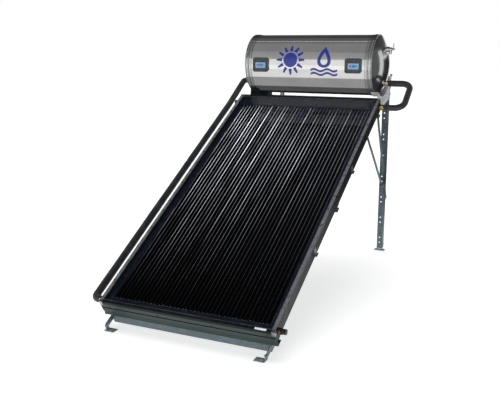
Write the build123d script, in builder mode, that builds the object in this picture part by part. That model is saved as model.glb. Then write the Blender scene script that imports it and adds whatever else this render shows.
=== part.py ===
"""Solar water heater: a flat-plate collector below a horizontal tank, on a perforated angle stand.

+X is to the right, +Y is to the back, +Z is up. The origin is on the ground, in the middle of the
four anchor holes. Work on the slope uses `slope`: x across, y up the slope, z out of the glass.
"""

import os
from math import atan2, cos, degrees, radians, sin, sqrt

from build123d import *

# Driving dimensions, mm
collector_width = 1000.0
collector_length = 1980.0
collector_depth = 70.0
tilt = 29.4
front_edge_y = -1052.0
front_edge_z = 150.0
tank_x = -16.0
tank_y = 858.0
tank_z = 1330.0
tank_radius = 200.0
tank_half_length = 451.0
dish_height = 60.0
stand_half_width = 460.0
leg_face_y = 1028.0
leg_top_z = 1195.0
anchor_x = 430.0
anchor_y = 1050.0

# Sheet, glass and tube sizes
sheet = 3.0
wall = 2.0
trim_width = 18.0
trim_drop = 16.0
glass_thickness = 4.0
header_radius = 11.0
riser_radius = 5.0
riser_count = 10
riser_pitch = 94.0
header_depth = 37.0
header_inset = 45.0
sleeve_radius = 20.0
angle_width = 40.0
rail_depth = 30.0
mount_rail_height = 30.0
mount_rail_width = 40.0
bolt_radius = 4.0
bolt_hole_radius = 4.2
head_radius = 7.5
head_height = 5.3

# Worked out from the driving dimensions
rise = sin(radians(tilt))
run = cos(radians(tilt))
slope = Plane(origin=(0, front_edge_y, front_edge_z), x_dir=(1, 0, 0), z_dir=(0, -rise, run))
half_width = collector_width / 2
rail_top = -collector_depth - mount_rail_height
rail_middle = rail_top - rail_depth / 2
rail_end = 2010.0
rail_toe = -70.0
pivot_along = rail_toe + rail_depth / 2
port_y = tank_y
lower_port_z = tank_z - 118.0
upper_port_z = tank_z + 106.0
leg_middle_y = leg_face_y + 22.0
leg_pivot_z = 45.0
strut_bolt_z = 398.0

os.makedirs("parts", exist_ok=True)


def on_slope(x, along, up):
    """The world place of a point given across, up the slope and out of the glass."""
    return slope.from_local_coords(Vector(x, along, up))


def save(builder, name):
    """Labels one finished sub-part and writes its file."""
    builder.part.label = name
    export_step(builder.part, f"parts/{name}.step")


def box_between(low, high, mode=Mode.ADD):
    """A box from its lowest to its highest corner, in the builder's own workplane."""
    size = [b - a for a, b in zip(low, high)]
    middle = [(a + b) / 2 for a, b in zip(low, high)]
    with Locations(tuple(middle)):
        Box(*size, mode=mode)


def rod_along_x(x0, x1, y, z, radius, mode=Mode.ADD):
    """A round bar along X, placed in the builder's own workplane."""
    with Locations(Location(((x0 + x1) / 2, y, z), (0, 90, 0))):
        Cylinder(radius, x1 - x0, mode=mode)


def bolt(head, end):
    """A bolt from the seat of its hexagon head to the seat of its nut, with the shank standing proud."""
    way = (end - head).normalized()
    with BuildSketch(Plane(origin=head, z_dir=way)) as shank:
        Circle(bolt_radius)
    extrude(shank.sketch, amount=(end - head).length + 8)
    for seat, out in ((head, -way), (end, way)):
        with BuildSketch(Plane(origin=seat, z_dir=out)) as hexagon:
            RegularPolygon(head_radius, 6)
        extrude(hexagon.sketch, amount=head_height)


def bolt_along_x(x_head, x_end, y, z):
    """A bolt along X, from its head's seat to its nut's seat."""
    bolt(Vector(x_head, y, z), Vector(x_end, y, z))


# --- Collector case -----------------------------------------------------------------------------
glass_top = -wall
glass_edge = half_width - 10
ledge_top = glass_top - glass_thickness - 3.5
side_out = half_width - 1.5
side_in = side_out - wall
port_rows = (header_inset, collector_length - header_inset)
grommet_radius = header_radius + 4

for name, side in (("left", -1), ("right", 1)):
    with BuildPart(slope) as case_side:
        section = sorted((side * side_in, side * side_out))
        box_between((section[0], 1.5, -collector_depth), (section[1], collector_length - 1.5, -wall))
        lip = sorted((side * side_in, side * (side_in - 16)))
        box_between((lip[0], 3.5, -collector_depth), (lip[1], collector_length - 3.5, -collector_depth + 1.5))
        box_between((lip[0], 3.5, ledge_top - wall), (lip[1], collector_length - 3.5, ledge_top))
        for along in port_rows:
            hole = (section[0] - 1, section[1] + 1)
            rod_along_x(*hole, along, -header_depth, grommet_radius - 1.5, Mode.SUBTRACT)
    save(case_side, f"case_side_{name}")

for name, low, high in (("front", 1.5, 3.5), ("rear", collector_length - 3.5, collector_length - 1.5)):
    inner = (3.5, 19.5) if name == "front" else (collector_length - 19.5, collector_length - 3.5)
    with BuildPart(slope) as case_end:
        box_between((-side_in, low, -collector_depth), (side_in, high, -wall))
        lip_half = side_in - 16
        box_between((-lip_half, inner[0], -collector_depth), (lip_half, inner[1], -collector_depth + 1.5))
        box_between((-lip_half, inner[0], ledge_top - wall), (lip_half, inner[1], ledge_top))
    save(case_end, f"case_end_{name}")

back_top = -collector_depth + 2.5
with BuildPart(slope) as back_sheet:
    box_between((-side_in, 3.5, -collector_depth + 1.5), (side_in, collector_length - 3.5, back_top))
save(back_sheet, "back_sheet")

with BuildPart(slope) as back_wool:
    wool_top = -header_depth - header_radius - 1
    box_between((-side_in, 3.5, back_top), (side_in, collector_length - 3.5, wool_top))
save(back_wool, "back_wool")

for name, side in (("left", -1), ("right", 1)):
    with BuildPart(slope) as trim:
        across = sorted((side * (half_width - trim_width), side * half_width))
        box_between((across[0], trim_width, -wall), (across[1], collector_length - trim_width, 0))
        outer = sorted((side * side_out, side * half_width))
        box_between((outer[0], trim_width, -trim_drop), (outer[1], collector_length - trim_width, -wall))
    save(trim, f"trim_{name}")

for name, low, high, edge in (
    ("front", 0, trim_width, (0, 1.5)),
    ("rear", collector_length - trim_width, collector_length, (collector_length - 1.5, collector_length)),
):
    with BuildPart(slope) as trim:
        box_between((trim_width - half_width, low, -wall), (half_width - trim_width, high, 0))
        box_between((trim_width - half_width, edge[0], -trim_drop), (half_width - trim_width, edge[1], -wall))
    save(trim, f"trim_{name}")

with BuildPart(slope) as corner_caps:
    for side in (-1, 1):
        for low, high, edge in (
            (0, trim_width, (0, 1.5)),
            (collector_length - trim_width, collector_length, (collector_length - 1.5, collector_length)),
        ):
            across = sorted((side * (half_width - trim_width), side * half_width))
            outer = sorted((side * side_out, side * half_width))
            box_between((across[0], low, -wall), (across[1], high, 0))
            box_between((across[0], edge[0], -trim_drop * 1.6), (across[1], edge[1], -wall))
            box_between((outer[0], low, -trim_drop * 1.6), (outer[1], high, -wall))
save(corner_caps, "corner_caps")

with BuildPart(slope) as glass:
    glass_low = glass_top - 0.5 - glass_thickness
    box_between((-glass_edge, 10, glass_low), (glass_edge, collector_length - 10, glass_top - 0.5))
save(glass, "glass")

gasket_out = side_in
gasket_in = glass_edge - 7
with BuildPart(slope) as gasket:
    box_between((-gasket_out, 3.5, ledge_top), (gasket_out, collector_length - 3.5, glass_top))
    box_between((-gasket_in, 17, ledge_top), (gasket_in, collector_length - 17, glass_top), Mode.SUBTRACT)
    box_between(
        (-glass_edge, 10, glass_low),
        (glass_edge, collector_length - 10, glass_top - 0.5),
        Mode.SUBTRACT,
    )
save(gasket, "glass_gasket")

# --- Absorber -----------------------------------------------------------------------------------
fin_top = -header_depth + riser_radius + 0.8
fin_low = fin_top - 0.8
with BuildPart(slope) as absorber:
    box_between((-470, 62, fin_low), (470, collector_length - 62, fin_top))
    with Locations((0, collector_length / 2, fin_top + 0.4)):
        with GridLocations(riser_pitch, 1, riser_count, 1):
            Box(14, collector_length - 124, 0.8)
save(absorber, "absorber_plate")

with BuildPart(slope) as risers:
    riser_start = header_inset + header_radius + 0.1
    for column in range(riser_count):
        x = (column - (riser_count - 1) / 2) * riser_pitch
        with Locations(Location((x, collector_length / 2, -header_depth), (90, 0, 0))):
            Cylinder(riser_radius, collector_length - 2 * riser_start)
            Cylinder(riser_radius - 0.8, collector_length - 2 * riser_start, mode=Mode.SUBTRACT)
save(risers, "riser_tubes")

header_reach = half_width + 16
with BuildPart(slope) as headers:
    for along in port_rows:
        rod_along_x(-header_reach, header_reach, along, -header_depth, header_radius)
        rod_along_x(-header_reach, header_reach, along, -header_depth, header_radius - 1, Mode.SUBTRACT)
save(headers, "header_tubes")

with BuildPart(slope) as grommets:
    for side in (-1, 1):
        for along in port_rows:
            hub = sorted((side * side_in, side * (side_out + 3)))
            rod_along_x(hub[0], hub[1], along, -header_depth, grommet_radius - 1.5)
            flange = sorted((side * side_out, side * (side_out + 3)))
            rod_along_x(flange[0], flange[1], along, -header_depth, grommet_radius + 2)
            bore_half = half_width * 1.1
            rod_along_x(-bore_half, bore_half, along, -header_depth, header_radius, Mode.SUBTRACT)
save(grommets, "header_grommets")

# --- Stand on the slope -------------------------------------------------------------------------
saddle_bolts = (1965.0, 1993.0)
short_strut_along = 1735.0
front_bar_bolt = 16.0
front_bar_height = 52.0
flange_start = 25.0
flange_end = 1950.0

for name, side in (("left", -1), ("right", 1)):
    with BuildPart(slope) as rail:
        web = sorted((side * (stand_half_width - sheet), side * stand_half_width))
        flange = sorted((side * (stand_half_width - angle_width), side * stand_half_width))
        box_between((web[0], pivot_along, rail_top - rail_depth), (web[1], rail_end, rail_top))
        box_between((flange[0], flange_start, rail_top - sheet), (flange[1], flange_end, rail_top))
        rod_along_x(web[0], web[1], pivot_along, rail_middle, rail_depth / 2)
        for along in (pivot_along, front_bar_bolt, short_strut_along, *saddle_bolts):
            rod_along_x(web[0] - 1, web[1] + 1, along, rail_middle, bolt_hole_radius, Mode.SUBTRACT)
    save(rail, f"rail_{name}")

with BuildPart(slope) as front_bar:
    bar_half = stand_half_width - sheet
    bar_low = rail_top - front_bar_height
    box_between((-bar_half, 0, bar_low), (bar_half, sheet, rail_top))
    box_between((-bar_half, sheet, bar_low), (bar_half, angle_width, bar_low + sheet))
    for side in (-1, 1):
        lug = sorted((side * (bar_half - sheet), side * bar_half))
        box_between((lug[0], sheet, bar_low + sheet), (lug[1], 30, rail_top - sheet - 1))
        rod_along_x(lug[0] - 1, lug[1] + 1, front_bar_bolt, rail_middle, bolt_hole_radius, Mode.SUBTRACT)
save(front_bar, "front_cross_bar")

with BuildPart(slope) as mount_rails:
    for along in (1.5, 970.0, 1905.0):
        high = along + mount_rail_width
        hollow = (rail_top + wall, -collector_depth - wall)
        box_between((-half_width, along, rail_top), (half_width, high, -collector_depth))
        box_between((-half_width, along + wall, hollow[0]), (half_width, high, hollow[1]), Mode.SUBTRACT)
save(mount_rails, "mount_rails")

with BuildPart(slope) as side_clips:
    for side in (-1, 1):
        for along in (593.0, 1293.0):
            plate = sorted((side * side_out, side * (side_out + 3)))
            box_between((plate[0], along - 14, -collector_depth + 6), (plate[1], along + 14, -trim_drop - 4))
            foot = sorted((side * side_out, side * (side_out + 12)))
            foot_low = -collector_depth + 3
            box_between((foot[0], along - 14, foot_low), (foot[1], along + 14, foot_low + 3))
save(side_clips, "side_clips")

# --- Legs, saddles and struts -------------------------------------------------------------------
hole_pitch = 150.0
hole_half_gap = 18.0
cross_bar_z = (1060.0, 1100.0)
cross_bar_bolt_z = 1080.0
horn_bolt_z = 1258.0
saddle_leg_bolts = (1130.0, 1175.0)

for name, side in (("left", -1), ("right", 1)):
    with BuildPart() as leg:
        web = sorted((side * (stand_half_width - sheet), side * stand_half_width))
        flange = sorted((side * (stand_half_width - angle_width), side * stand_half_width))
        box_between((flange[0], leg_face_y, 18), (flange[1], leg_face_y + sheet, leg_top_z))
        box_between((web[0], leg_face_y, 18), (web[1], leg_face_y + angle_width, leg_top_z))
        for row in range(7):
            for shift in (-hole_half_gap, hole_half_gap):
                z = 80 + row * hole_pitch + shift
                with Locations(Location((side * 438, leg_face_y, z), (90, 0, 0))):
                    Cylinder(5, 20, mode=Mode.SUBTRACT)
                rod_along_x(web[0] - 1, web[1] + 1, leg_middle_y, z, bolt_hole_radius, Mode.SUBTRACT)
        with Locations(Location((side * 438, leg_face_y, cross_bar_bolt_z), (90, 0, 0))):
            Cylinder(bolt_hole_radius, 20, mode=Mode.SUBTRACT)
        for z in (leg_pivot_z, *saddle_leg_bolts):
            rod_along_x(web[0] - 1, web[1] + 1, leg_middle_y, z, bolt_hole_radius, Mode.SUBTRACT)
    save(leg, f"leg_{name}")

with BuildPart() as rear_bar:
    box_between(
        (-stand_half_width, leg_face_y - sheet, cross_bar_z[0]),
        (stand_half_width, leg_face_y, cross_bar_z[1]),
    )
    box_between(
        (-stand_half_width, leg_face_y - angle_width, cross_bar_z[0]),
        (stand_half_width, leg_face_y - sheet, cross_bar_z[0] + sheet),
    )
    for side in (-1, 1):
        with Locations(Location((side * 438, leg_face_y, cross_bar_bolt_z), (90, 0, 0))):
            Cylinder(bolt_hole_radius, 20, mode=Mode.SUBTRACT)
save(rear_bar, "rear_cross_bar")

cradle_radius = tank_radius + 4.6


def on_tank(radius, degrees):
    """A point in the Y-Z plane at a radius and angle from the tank's axis, 0 pointing back."""
    return (tank_y + radius * cos(radians(degrees)), tank_z + radius * sin(radians(degrees)))


def flat(point):
    """The Y and Z of a world point."""
    return (point.Y, point.Z)


for name, side in (("left", -1), ("right", 1)):
    with BuildPart() as saddle:
        with BuildSketch(Plane.YZ.offset(side * stand_half_width)):
            with BuildLine():
                arc_start = on_tank(cradle_radius + sheet, -123)
                arc_end = on_tank(cradle_radius + sheet, -22)
                Polyline(
                    arc_end,
                    (tank_y + 240, horn_bolt_z + 12),
                    (leg_face_y + angle_width, leg_top_z - 10),
                    (leg_face_y + angle_width, saddle_leg_bolts[0] - 25),
                    flat(on_slope(0, rail_end - 2, rail_top - rail_depth + 4)),
                    flat(on_slope(0, saddle_bolts[0] - 16, rail_top - rail_depth + 4)),
                    flat(on_slope(0, saddle_bolts[0] - 16, rail_top - 2)),
                    flat(on_slope(0, rail_end - 18, rail_top)),
                    arc_start,
                )
                ThreePointArc(arc_start, on_tank(cradle_radius + sheet, -72), arc_end)
            make_face()
        extrude(amount=side * sheet)
        with BuildSketch(Plane.YZ.offset(side * (stand_half_width + sheet))):
            with BuildLine():
                outer_start = on_tank(cradle_radius + sheet, -123)
                outer_end = on_tank(cradle_radius + sheet, -22)
                inner_start = on_tank(cradle_radius, -123)
                inner_end = on_tank(cradle_radius, -22)
                ThreePointArc(outer_start, on_tank(cradle_radius + sheet, -72), outer_end)
                Line(outer_end, inner_end)
                ThreePointArc(inner_end, on_tank(cradle_radius, -72), inner_start)
                Line(inner_start, outer_start)
            make_face()
        extrude(amount=-side * 53)
        low_x = min(side * stand_half_width, side * (stand_half_width + sheet)) - 1
        for along in saddle_bolts:
            place = on_slope(0, along, rail_middle)
            rod_along_x(low_x, low_x + 5, place.Y, place.Z, bolt_hole_radius, Mode.SUBTRACT)
        for z in saddle_leg_bolts:
            rod_along_x(low_x, low_x + 5, leg_middle_y, z, bolt_hole_radius, Mode.SUBTRACT)
        rod_along_x(low_x, low_x + 5, tank_y + 222, horn_bolt_z, bolt_hole_radius, Mode.SUBTRACT)
    save(saddle, f"saddle_{name}")


strut_lip = 12.0
lip_share = 0.6


def flat_strut(start, end, width, x0, x1):
    """A bar in a Y-Z plane between two bolt centres, with round ends and a lip turned outward."""
    middle = ((start[0] + end[0]) / 2, (start[1] + end[1]) / 2)
    reach = sqrt((end[0] - start[0]) ** 2 + (end[1] - start[1]) ** 2)
    lean = degrees(atan2(end[1] - start[1], end[0] - start[0]))
    with BuildSketch(Plane.YZ.offset(x0)) as outline:
        with Locations(middle):
            SlotCenterToCenter(reach, width, rotation=lean)
        with Locations(start, end):
            Circle(bolt_hole_radius, mode=Mode.SUBTRACT)
    extrude(outline.sketch, amount=x1 - x0)
    with BuildSketch(Plane.YZ.offset(x0)) as lip:
        with Locations(Location((*middle, 0), (0, 0, lean))):
            with Locations((0, width / 2 - sheet / 2)):
                Rectangle(reach * lip_share, sheet)
    extrude(lip.sketch, amount=x1 - x0 + (strut_lip if x1 > x0 else -strut_lip))


strut_foot = (leg_middle_y, strut_bolt_z)
for name, side in (("left", -1), ("right", 1)):
    near = side * (stand_half_width + sheet)
    with BuildPart() as long_strut:
        flat_strut(strut_foot, flat(on_slope(0, saddle_bolts[1], rail_middle)), 36, near, near + side * sheet)
    save(long_strut, f"strut_long_{name}")
    with BuildPart() as short_strut:
        flat_strut(
            strut_foot,
            flat(on_slope(0, short_strut_along, rail_middle)),
            25,
            side * stand_half_width,
            near,
        )
    save(short_strut, f"strut_short_{name}")

# --- Feet ---------------------------------------------------------------------------------------
pivot = on_slope(0, pivot_along, rail_middle)
foot_plate = 4.0
bolt_clearance = 0.08
ear_x = (stand_half_width - 2 * sheet - 0.3, stand_half_width - sheet - 0.3)

for place, centre, plate_y, plate_out, hole_y, ear_half in (
    ("front", (pivot.Y, pivot.Z), (-anchor_y - 22, -anchor_y + 22), ear_x[1], -anchor_y, 12.0),
    ("rear", (leg_middle_y, leg_pivot_z), (anchor_y - 22, anchor_y + 22), 472.0, anchor_y, 10.0),
):
    for name, side in (("left", -1), ("right", 1)):
        with BuildPart() as foot:
            ear = sorted((side * ear_x[0], side * ear_x[1]))
            plate = sorted((side * (stand_half_width - 60), side * plate_out))
            box_between((plate[0], plate_y[0], 0), (plate[1], plate_y[1], foot_plate))
            box_between((ear[0], centre[0] - ear_half, 0), (ear[1], centre[0] + ear_half, centre[1]))
            rod_along_x(ear[0], ear[1], *centre, ear_half)
            rod_along_x(ear[0] - 1, ear[1] + 1, *centre, bolt_radius + bolt_clearance, Mode.SUBTRACT)
            with Locations((side * anchor_x, hole_y, foot_plate / 2)):
                Cylinder(5.5, 3 * foot_plate, mode=Mode.SUBTRACT)
        save(foot, f"foot_{place}_{name}")

# --- Bolts of the stand -------------------------------------------------------------------------
with BuildPart() as stand_bolts:
    for side in (-1, 1):
        inner = side * (stand_half_width - sheet)
        one = side * (stand_half_width + sheet)
        two = side * (stand_half_width + 2 * sheet)
        for centre in ((pivot.Y, pivot.Z), (leg_middle_y, leg_pivot_z)):
            bolt_along_x(side * stand_half_width, side * (ear_x[0] - 0.3), *centre)
        bolt_along_x(two, inner, *strut_foot)
        bolt_along_x(two, inner, *flat(on_slope(0, saddle_bolts[1], rail_middle)))
        bolt_along_x(one, inner, *flat(on_slope(0, saddle_bolts[0], rail_middle)))
        bolt_along_x(one, inner, *flat(on_slope(0, short_strut_along, rail_middle)))
        bar_place = flat(on_slope(0, front_bar_bolt, rail_middle))
        bolt_along_x(side * stand_half_width, side * (stand_half_width - 2 * sheet), *bar_place)
        bolt(
            Vector(side * 438, leg_face_y - sheet, cross_bar_bolt_z),
            Vector(side * 438, leg_face_y + sheet, cross_bar_bolt_z),
        )
        for z in saddle_leg_bolts:
            bolt_along_x(one, inner, leg_middle_y, z)
        bolt_along_x(one, side * stand_half_width, tank_y + 222, horn_bolt_z)
save(stand_bolts, "stand_bolts")

# --- Tank ---------------------------------------------------------------------------------------
axis_start = tank_x - tank_half_length
inner_radius = 160.0
inner_half = 406.0
inner_dish = 36.0
inner_sheet = 2.0
shell_inner = tank_radius - 1
cover_z = tank_z
cover_places = (("heater", tank_x - 330), ("thermostat", tank_x + 330))
neck_radius = 38.0
port_reach = tank_half_length + 52
end_ports = (
    (-1, lower_port_z),
    (1, lower_port_z),
    (-1, upper_port_z),
    (1, upper_port_z),
)
boss_radius = 15.0
cold_x = tank_x - 250


def dish(side, rim_x, radius, height, thickness):
    """A dished end: a shallow spherical bowl standing on a rim, side -1 to the left, 1 to the right."""
    with BuildSketch(Plane(origin=(rim_x, tank_y, tank_z), x_dir=(side, 0, 0), z_dir=(0, -side, 0))) as bowl:
        with BuildLine():
            ball = (radius**2 + height**2) / (2 * height)
            angle = 0.5
            reach = sqrt(ball**2 - (radius * angle) ** 2) - (ball - height)
            small = radius - thickness
            small_height = height - thickness
            small_ball = (small**2 + small_height**2) / (2 * small_height)
            small_reach = sqrt(small_ball**2 - (small * angle) ** 2) - (small_ball - small_height)
            ThreePointArc((0, radius), (reach, radius * angle), (height, 0))
            Line((height, 0), (small_height, 0))
            ThreePointArc((small_height, 0), (small_reach, small * angle), (0, small))
            Line((0, small), (0, radius))
        make_face()
    revolve(bowl.sketch, axis=Axis((rim_x, tank_y, tank_z), (1, 0, 0)))


with BuildPart() as tank_shell:
    rod_along_x(axis_start, axis_start + 2 * tank_half_length, tank_y, tank_z, tank_radius)
    rod_along_x(axis_start, axis_start + 2 * tank_half_length, tank_y, tank_z, shell_inner, Mode.SUBTRACT)
    for _, x in cover_places:
        with Locations(Location((x, tank_y - tank_radius, cover_z), (90, 0, 0))):
            Cylinder(neck_radius, 60, mode=Mode.SUBTRACT)
    with Locations((cold_x, tank_y, tank_z - tank_radius)):
        Cylinder(boss_radius, 60, mode=Mode.SUBTRACT)
save(tank_shell, "tank_shell")

for name, side in (("left", -1), ("right", 1)):
    rim = tank_x + side * tank_half_length
    with BuildPart() as tank_end:
        dish(side, rim, shell_inner, dish_height, 1.2)
        skirt = sorted((rim - side * 20, rim))
        with Locations(Location(((skirt[0] + skirt[1]) / 2, tank_y, tank_z), (0, 90, 0))):
            Cylinder(shell_inner, 20)
            Cylinder(shell_inner - 1.2, 20, mode=Mode.SUBTRACT)
        for port_side, z in end_ports:
            if port_side == side:
                reach = sorted((rim, rim + side * 90))
                rod_along_x(reach[0], reach[1], port_y, z, boss_radius, Mode.SUBTRACT)
    save(tank_end, f"tank_end_{name}")

with BuildPart() as rim_rings:
    for side in (-1, 1):
        rim = tank_x + side * tank_half_length
        band = sorted((rim - side * 46, rim))
        rod_along_x(band[0], band[1], tank_y, tank_z, tank_radius + 1.4)
        for offset in (4.0, 25.0):
            with Locations(Location((rim - side * offset, tank_y, tank_z), (0, 90, 0))):
                Torus(tank_radius + 1.4, 3.0)
        rod_along_x(band[0] - 8, band[1] + 8, tank_y, tank_z, tank_radius + 0.2, Mode.SUBTRACT)
save(rim_rings, "rim_rings")

with BuildPart() as inner_tank:
    vessel = (tank_x - inner_half, tank_x + inner_half)
    rod_along_x(*vessel, tank_y, tank_z, inner_radius)
    rod_along_x(*vessel, tank_y, tank_z, inner_radius - inner_sheet, Mode.SUBTRACT)
    for side in (-1, 1):
        dish(side, tank_x + side * inner_half, inner_radius, inner_dish, inner_sheet)
        for port_side, z in end_ports:
            if port_side == side:
                reach = sorted((tank_x + side * (inner_half - 20), tank_x + side * (inner_half + 60)))
                rod_along_x(reach[0], reach[1], port_y, z, boss_radius, Mode.SUBTRACT)
    for _, x in cover_places:
        with Locations(Location((x, tank_y - inner_radius, cover_z), (90, 0, 0))):
            Cylinder(20, 60, mode=Mode.SUBTRACT)
    with Locations((cold_x, tank_y, tank_z - inner_radius)):
        Cylinder(boss_radius, 60, mode=Mode.SUBTRACT)
save(inner_tank, "inner_tank")

foam_radius = shell_inner - 1.2
with BuildPart() as foam:
    rod_along_x(axis_start, axis_start + 2 * tank_half_length, tank_y, tank_z, foam_radius)
    rod_along_x(tank_x - inner_half, tank_x + inner_half, tank_y, tank_z, inner_radius, Mode.SUBTRACT)
    for side in (-1, 1):
        seat = (tank_x + side * inner_half, tank_y, tank_z)
        with BuildSketch(Plane(origin=seat, x_dir=(side, 0, 0), z_dir=(0, -side, 0))):
            with BuildLine():
                ball = (inner_radius**2 + inner_dish**2) / (2 * inner_dish)
                reach = sqrt(ball**2 - (inner_radius / 2) ** 2) - (ball - inner_dish)
                ThreePointArc((0, inner_radius), (reach, inner_radius / 2), (inner_dish, 0))
                Line((inner_dish, 0), (0, 0))
                Line((0, 0), (0, inner_radius))
            make_face()
        revolve(axis=Axis((tank_x, tank_y, tank_z), (1, 0, 0)), mode=Mode.SUBTRACT)
        for port_side, z in end_ports:
            if port_side == side:
                reach = sorted((tank_x + side * (inner_half - 20), tank_x + side * (inner_half + 60)))
                rod_along_x(reach[0], reach[1], port_y, z, boss_radius, Mode.SUBTRACT)
    for _, x in cover_places:
        with Locations(Location((x, tank_y - tank_radius + 20, cover_z), (90, 0, 0))):
            Cylinder(neck_radius, 120, mode=Mode.SUBTRACT)
    with Locations((cold_x, tank_y, tank_z - tank_radius + 20)):
        Cylinder(boss_radius, 120, mode=Mode.SUBTRACT)
save(foam, "tank_foam")

boss_bore = 12.0
with BuildPart() as tank_ports:
    for side, z in end_ports:
        start = tank_x + side * (inner_half + 8)
        end = tank_x + side * port_reach
        span = sorted((start, end))
        rod_along_x(span[0], span[1], port_y, z, boss_radius)
        rod_along_x(span[0] - 1, span[1] + 1, port_y, z, boss_bore, Mode.SUBTRACT)
    boss_low = tank_z - tank_radius - 22
    boss_high = tank_z - inner_radius + 3
    with Locations((cold_x, tank_y, (boss_low + boss_high) / 2)):
        Cylinder(boss_radius, boss_high - boss_low)
        Cylinder(boss_bore, boss_high - boss_low, mode=Mode.SUBTRACT)
save(tank_ports, "tank_ports")

heater_x = cover_places[0][1]
thermostat_x = cover_places[1][1]
flange_face = tank_y - inner_radius
with BuildPart() as heater:
    with Locations(Location((heater_x, flange_face - 5, cover_z), (90, 0, 0))):
        Cylinder(32, 8)
    with Locations(Location((heater_x, flange_face + 10, cover_z), (90, 0, 0))):
        Cylinder(19, 24)
    for shift in (-9.0, 9.0):
        with Locations(Location((heater_x + shift, flange_face + 130, cover_z), (90, 0, 0))):
            Cylinder(4, 220)
        with Locations(Location((heater_x + shift, flange_face - 16, cover_z), (90, 0, 0))):
            Cylinder(3, 16)
    bend_y = flange_face + 241
    box_between((heater_x - 13, bend_y - 5, cover_z - 4), (heater_x + 13, bend_y + 5, cover_z + 4))
save(heater, "immersion_heater")

with BuildPart() as thermostat:
    with Locations(Location((thermostat_x, flange_face - 5, cover_z), (90, 0, 0))):
        Cylinder(26, 8)
    with Locations(Location((thermostat_x, flange_face + 60, cover_z), (90, 0, 0))):
        Cylinder(6, 124)
    box_between(
        (thermostat_x - 20, flange_face - 36, cover_z - 28),
        (thermostat_x + 20, flange_face - 9, cover_z + 28),
    )
    with Locations(Location((thermostat_x, flange_face - 34, cover_z), (90, 0, 0))):
        Cylinder(3.05, 20, mode=Mode.SUBTRACT)
save(thermostat, "thermostat")

with BuildPart() as knob:
    with Locations(Location((thermostat_x, flange_face - 42, cover_z), (90, 0, 0))):
        Cylinder(12, 10)
    with Locations(Location((thermostat_x, flange_face - 33, cover_z), (90, 0, 0))):
        Cylinder(3, 9)
    pointer_y = flange_face - 48
    pointer = (thermostat_x - 1.5, thermostat_x + 1.5)
    box_between((pointer[0], pointer_y - 1, cover_z), (pointer[1], pointer_y + 1, cover_z + 11))
save(knob, "thermostat_knob")

anode_x = tank_x + 120
with BuildPart() as anode:
    rod_along_x(anode_x - 150, anode_x + 150, tank_y, tank_z + 40, 11)
    with Locations((anode_x, tank_y, tank_z + 40 + 11 + (inner_radius - inner_sheet - 51) / 2)):
        Cylinder(4, inner_radius - inner_sheet - 51 - 0.2)
save(anode, "anode_rod")

cover_width = 110.0
cover_height = 97.0
cover_face = tank_y - tank_radius - 18
cover_screw = (44.0, -37.0)
for name, x in cover_places:
    with BuildPart() as cover:
        with BuildSketch(Plane(origin=(x, cover_face, cover_z), x_dir=(1, 0, 0), z_dir=(0, -1, 0))):
            RectangleRounded(cover_width, cover_height, 14)
        extrude(amount=-40)
        fillet(cover.faces().sort_by(Axis.Y)[0].edges(), 5)
        with BuildSketch(Plane(origin=(x, cover_face + 3, cover_z), x_dir=(1, 0, 0), z_dir=(0, -1, 0))):
            RectangleRounded(cover_width - 6, cover_height - 6, 11)
        extrude(amount=-40, mode=Mode.SUBTRACT)
        for row in range(5):
            lift = cover_height / 2 - 12 - row * 5
            box_between(
                (x - cover_width / 2 + 14, cover_face - 1.2, cover_z + lift - 1.2),
                (x + cover_width / 2 - 14, cover_face + 0.5, cover_z + lift + 1.2),
            )
        rod_along_x(x - cover_width, x + cover_width, tank_y, tank_z, tank_radius + 0.1, Mode.SUBTRACT)
        for side in (-1, 1):
            hole = (x + side * cover_screw[0], cover_face, cover_z + cover_screw[1])
            with Locations(Location(hole, (90, 0, 0))):
                Cylinder(2.2, 20, mode=Mode.SUBTRACT)
    save(cover, f"{name}_cover")

with BuildPart() as small_screws:
    for _, x in cover_places:
        for side in (-1, 1):
            screw_x, screw_z = x + side * cover_screw[0], cover_z + cover_screw[1]
            with Locations(Location((screw_x, cover_face + 1.5, screw_z), (90, 0, 0))):
                Cylinder(2.2, 3)
            with Locations(Location((screw_x, cover_face - 0.75, screw_z), (90, 0, 0))):
                Cylinder(4, 1.5)
    for side in (-1, 1):
        for along in (100.0, 438.0, 775.0, 1153.0, 1543.0, 1880.0):
            with Locations(slope.location * Location((side * (half_width - 9), along, 0.6))):
                Cylinder(3.5, 1.2)
        for x in (155.0, 449.0):
            with Locations(slope.location * Location((side * x, 0.9, -header_depth), (90, 0, 0))):
                Cylinder(4, 1.2)
save(small_screws, "small_screws")

# --- Relief valve on the right upper port -------------------------------------------------------
valve_x = tank_x + port_reach
lever_x = valve_x + 42
with BuildPart() as relief_valve:
    rod_along_x(valve_x - 18, valve_x, port_y, upper_port_z, boss_bore - 0.2)
    rod_along_x(valve_x, valve_x + 9, port_y, upper_port_z, 17)
    rod_along_x(valve_x + 9, valve_x + 28, port_y, upper_port_z, 12)
    with Locations((valve_x + 18.5, port_y, upper_port_z - 20)):
        Cylinder(9, 24)
    rod_along_x(valve_x + 28, valve_x + 34, port_y, upper_port_z, 8)
    with Locations((valve_x + 18.5, port_y, upper_port_z - 20)):
        Cylinder(6.5, 26, mode=Mode.SUBTRACT)
    rod_along_x(valve_x + 34, lever_x + 4, port_y, upper_port_z, 2.5)
    with Locations(Location((lever_x, port_y, upper_port_z), (90, 0, 0))):
        Cylinder(1.6, 14)
save(relief_valve, "relief_valve")

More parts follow.
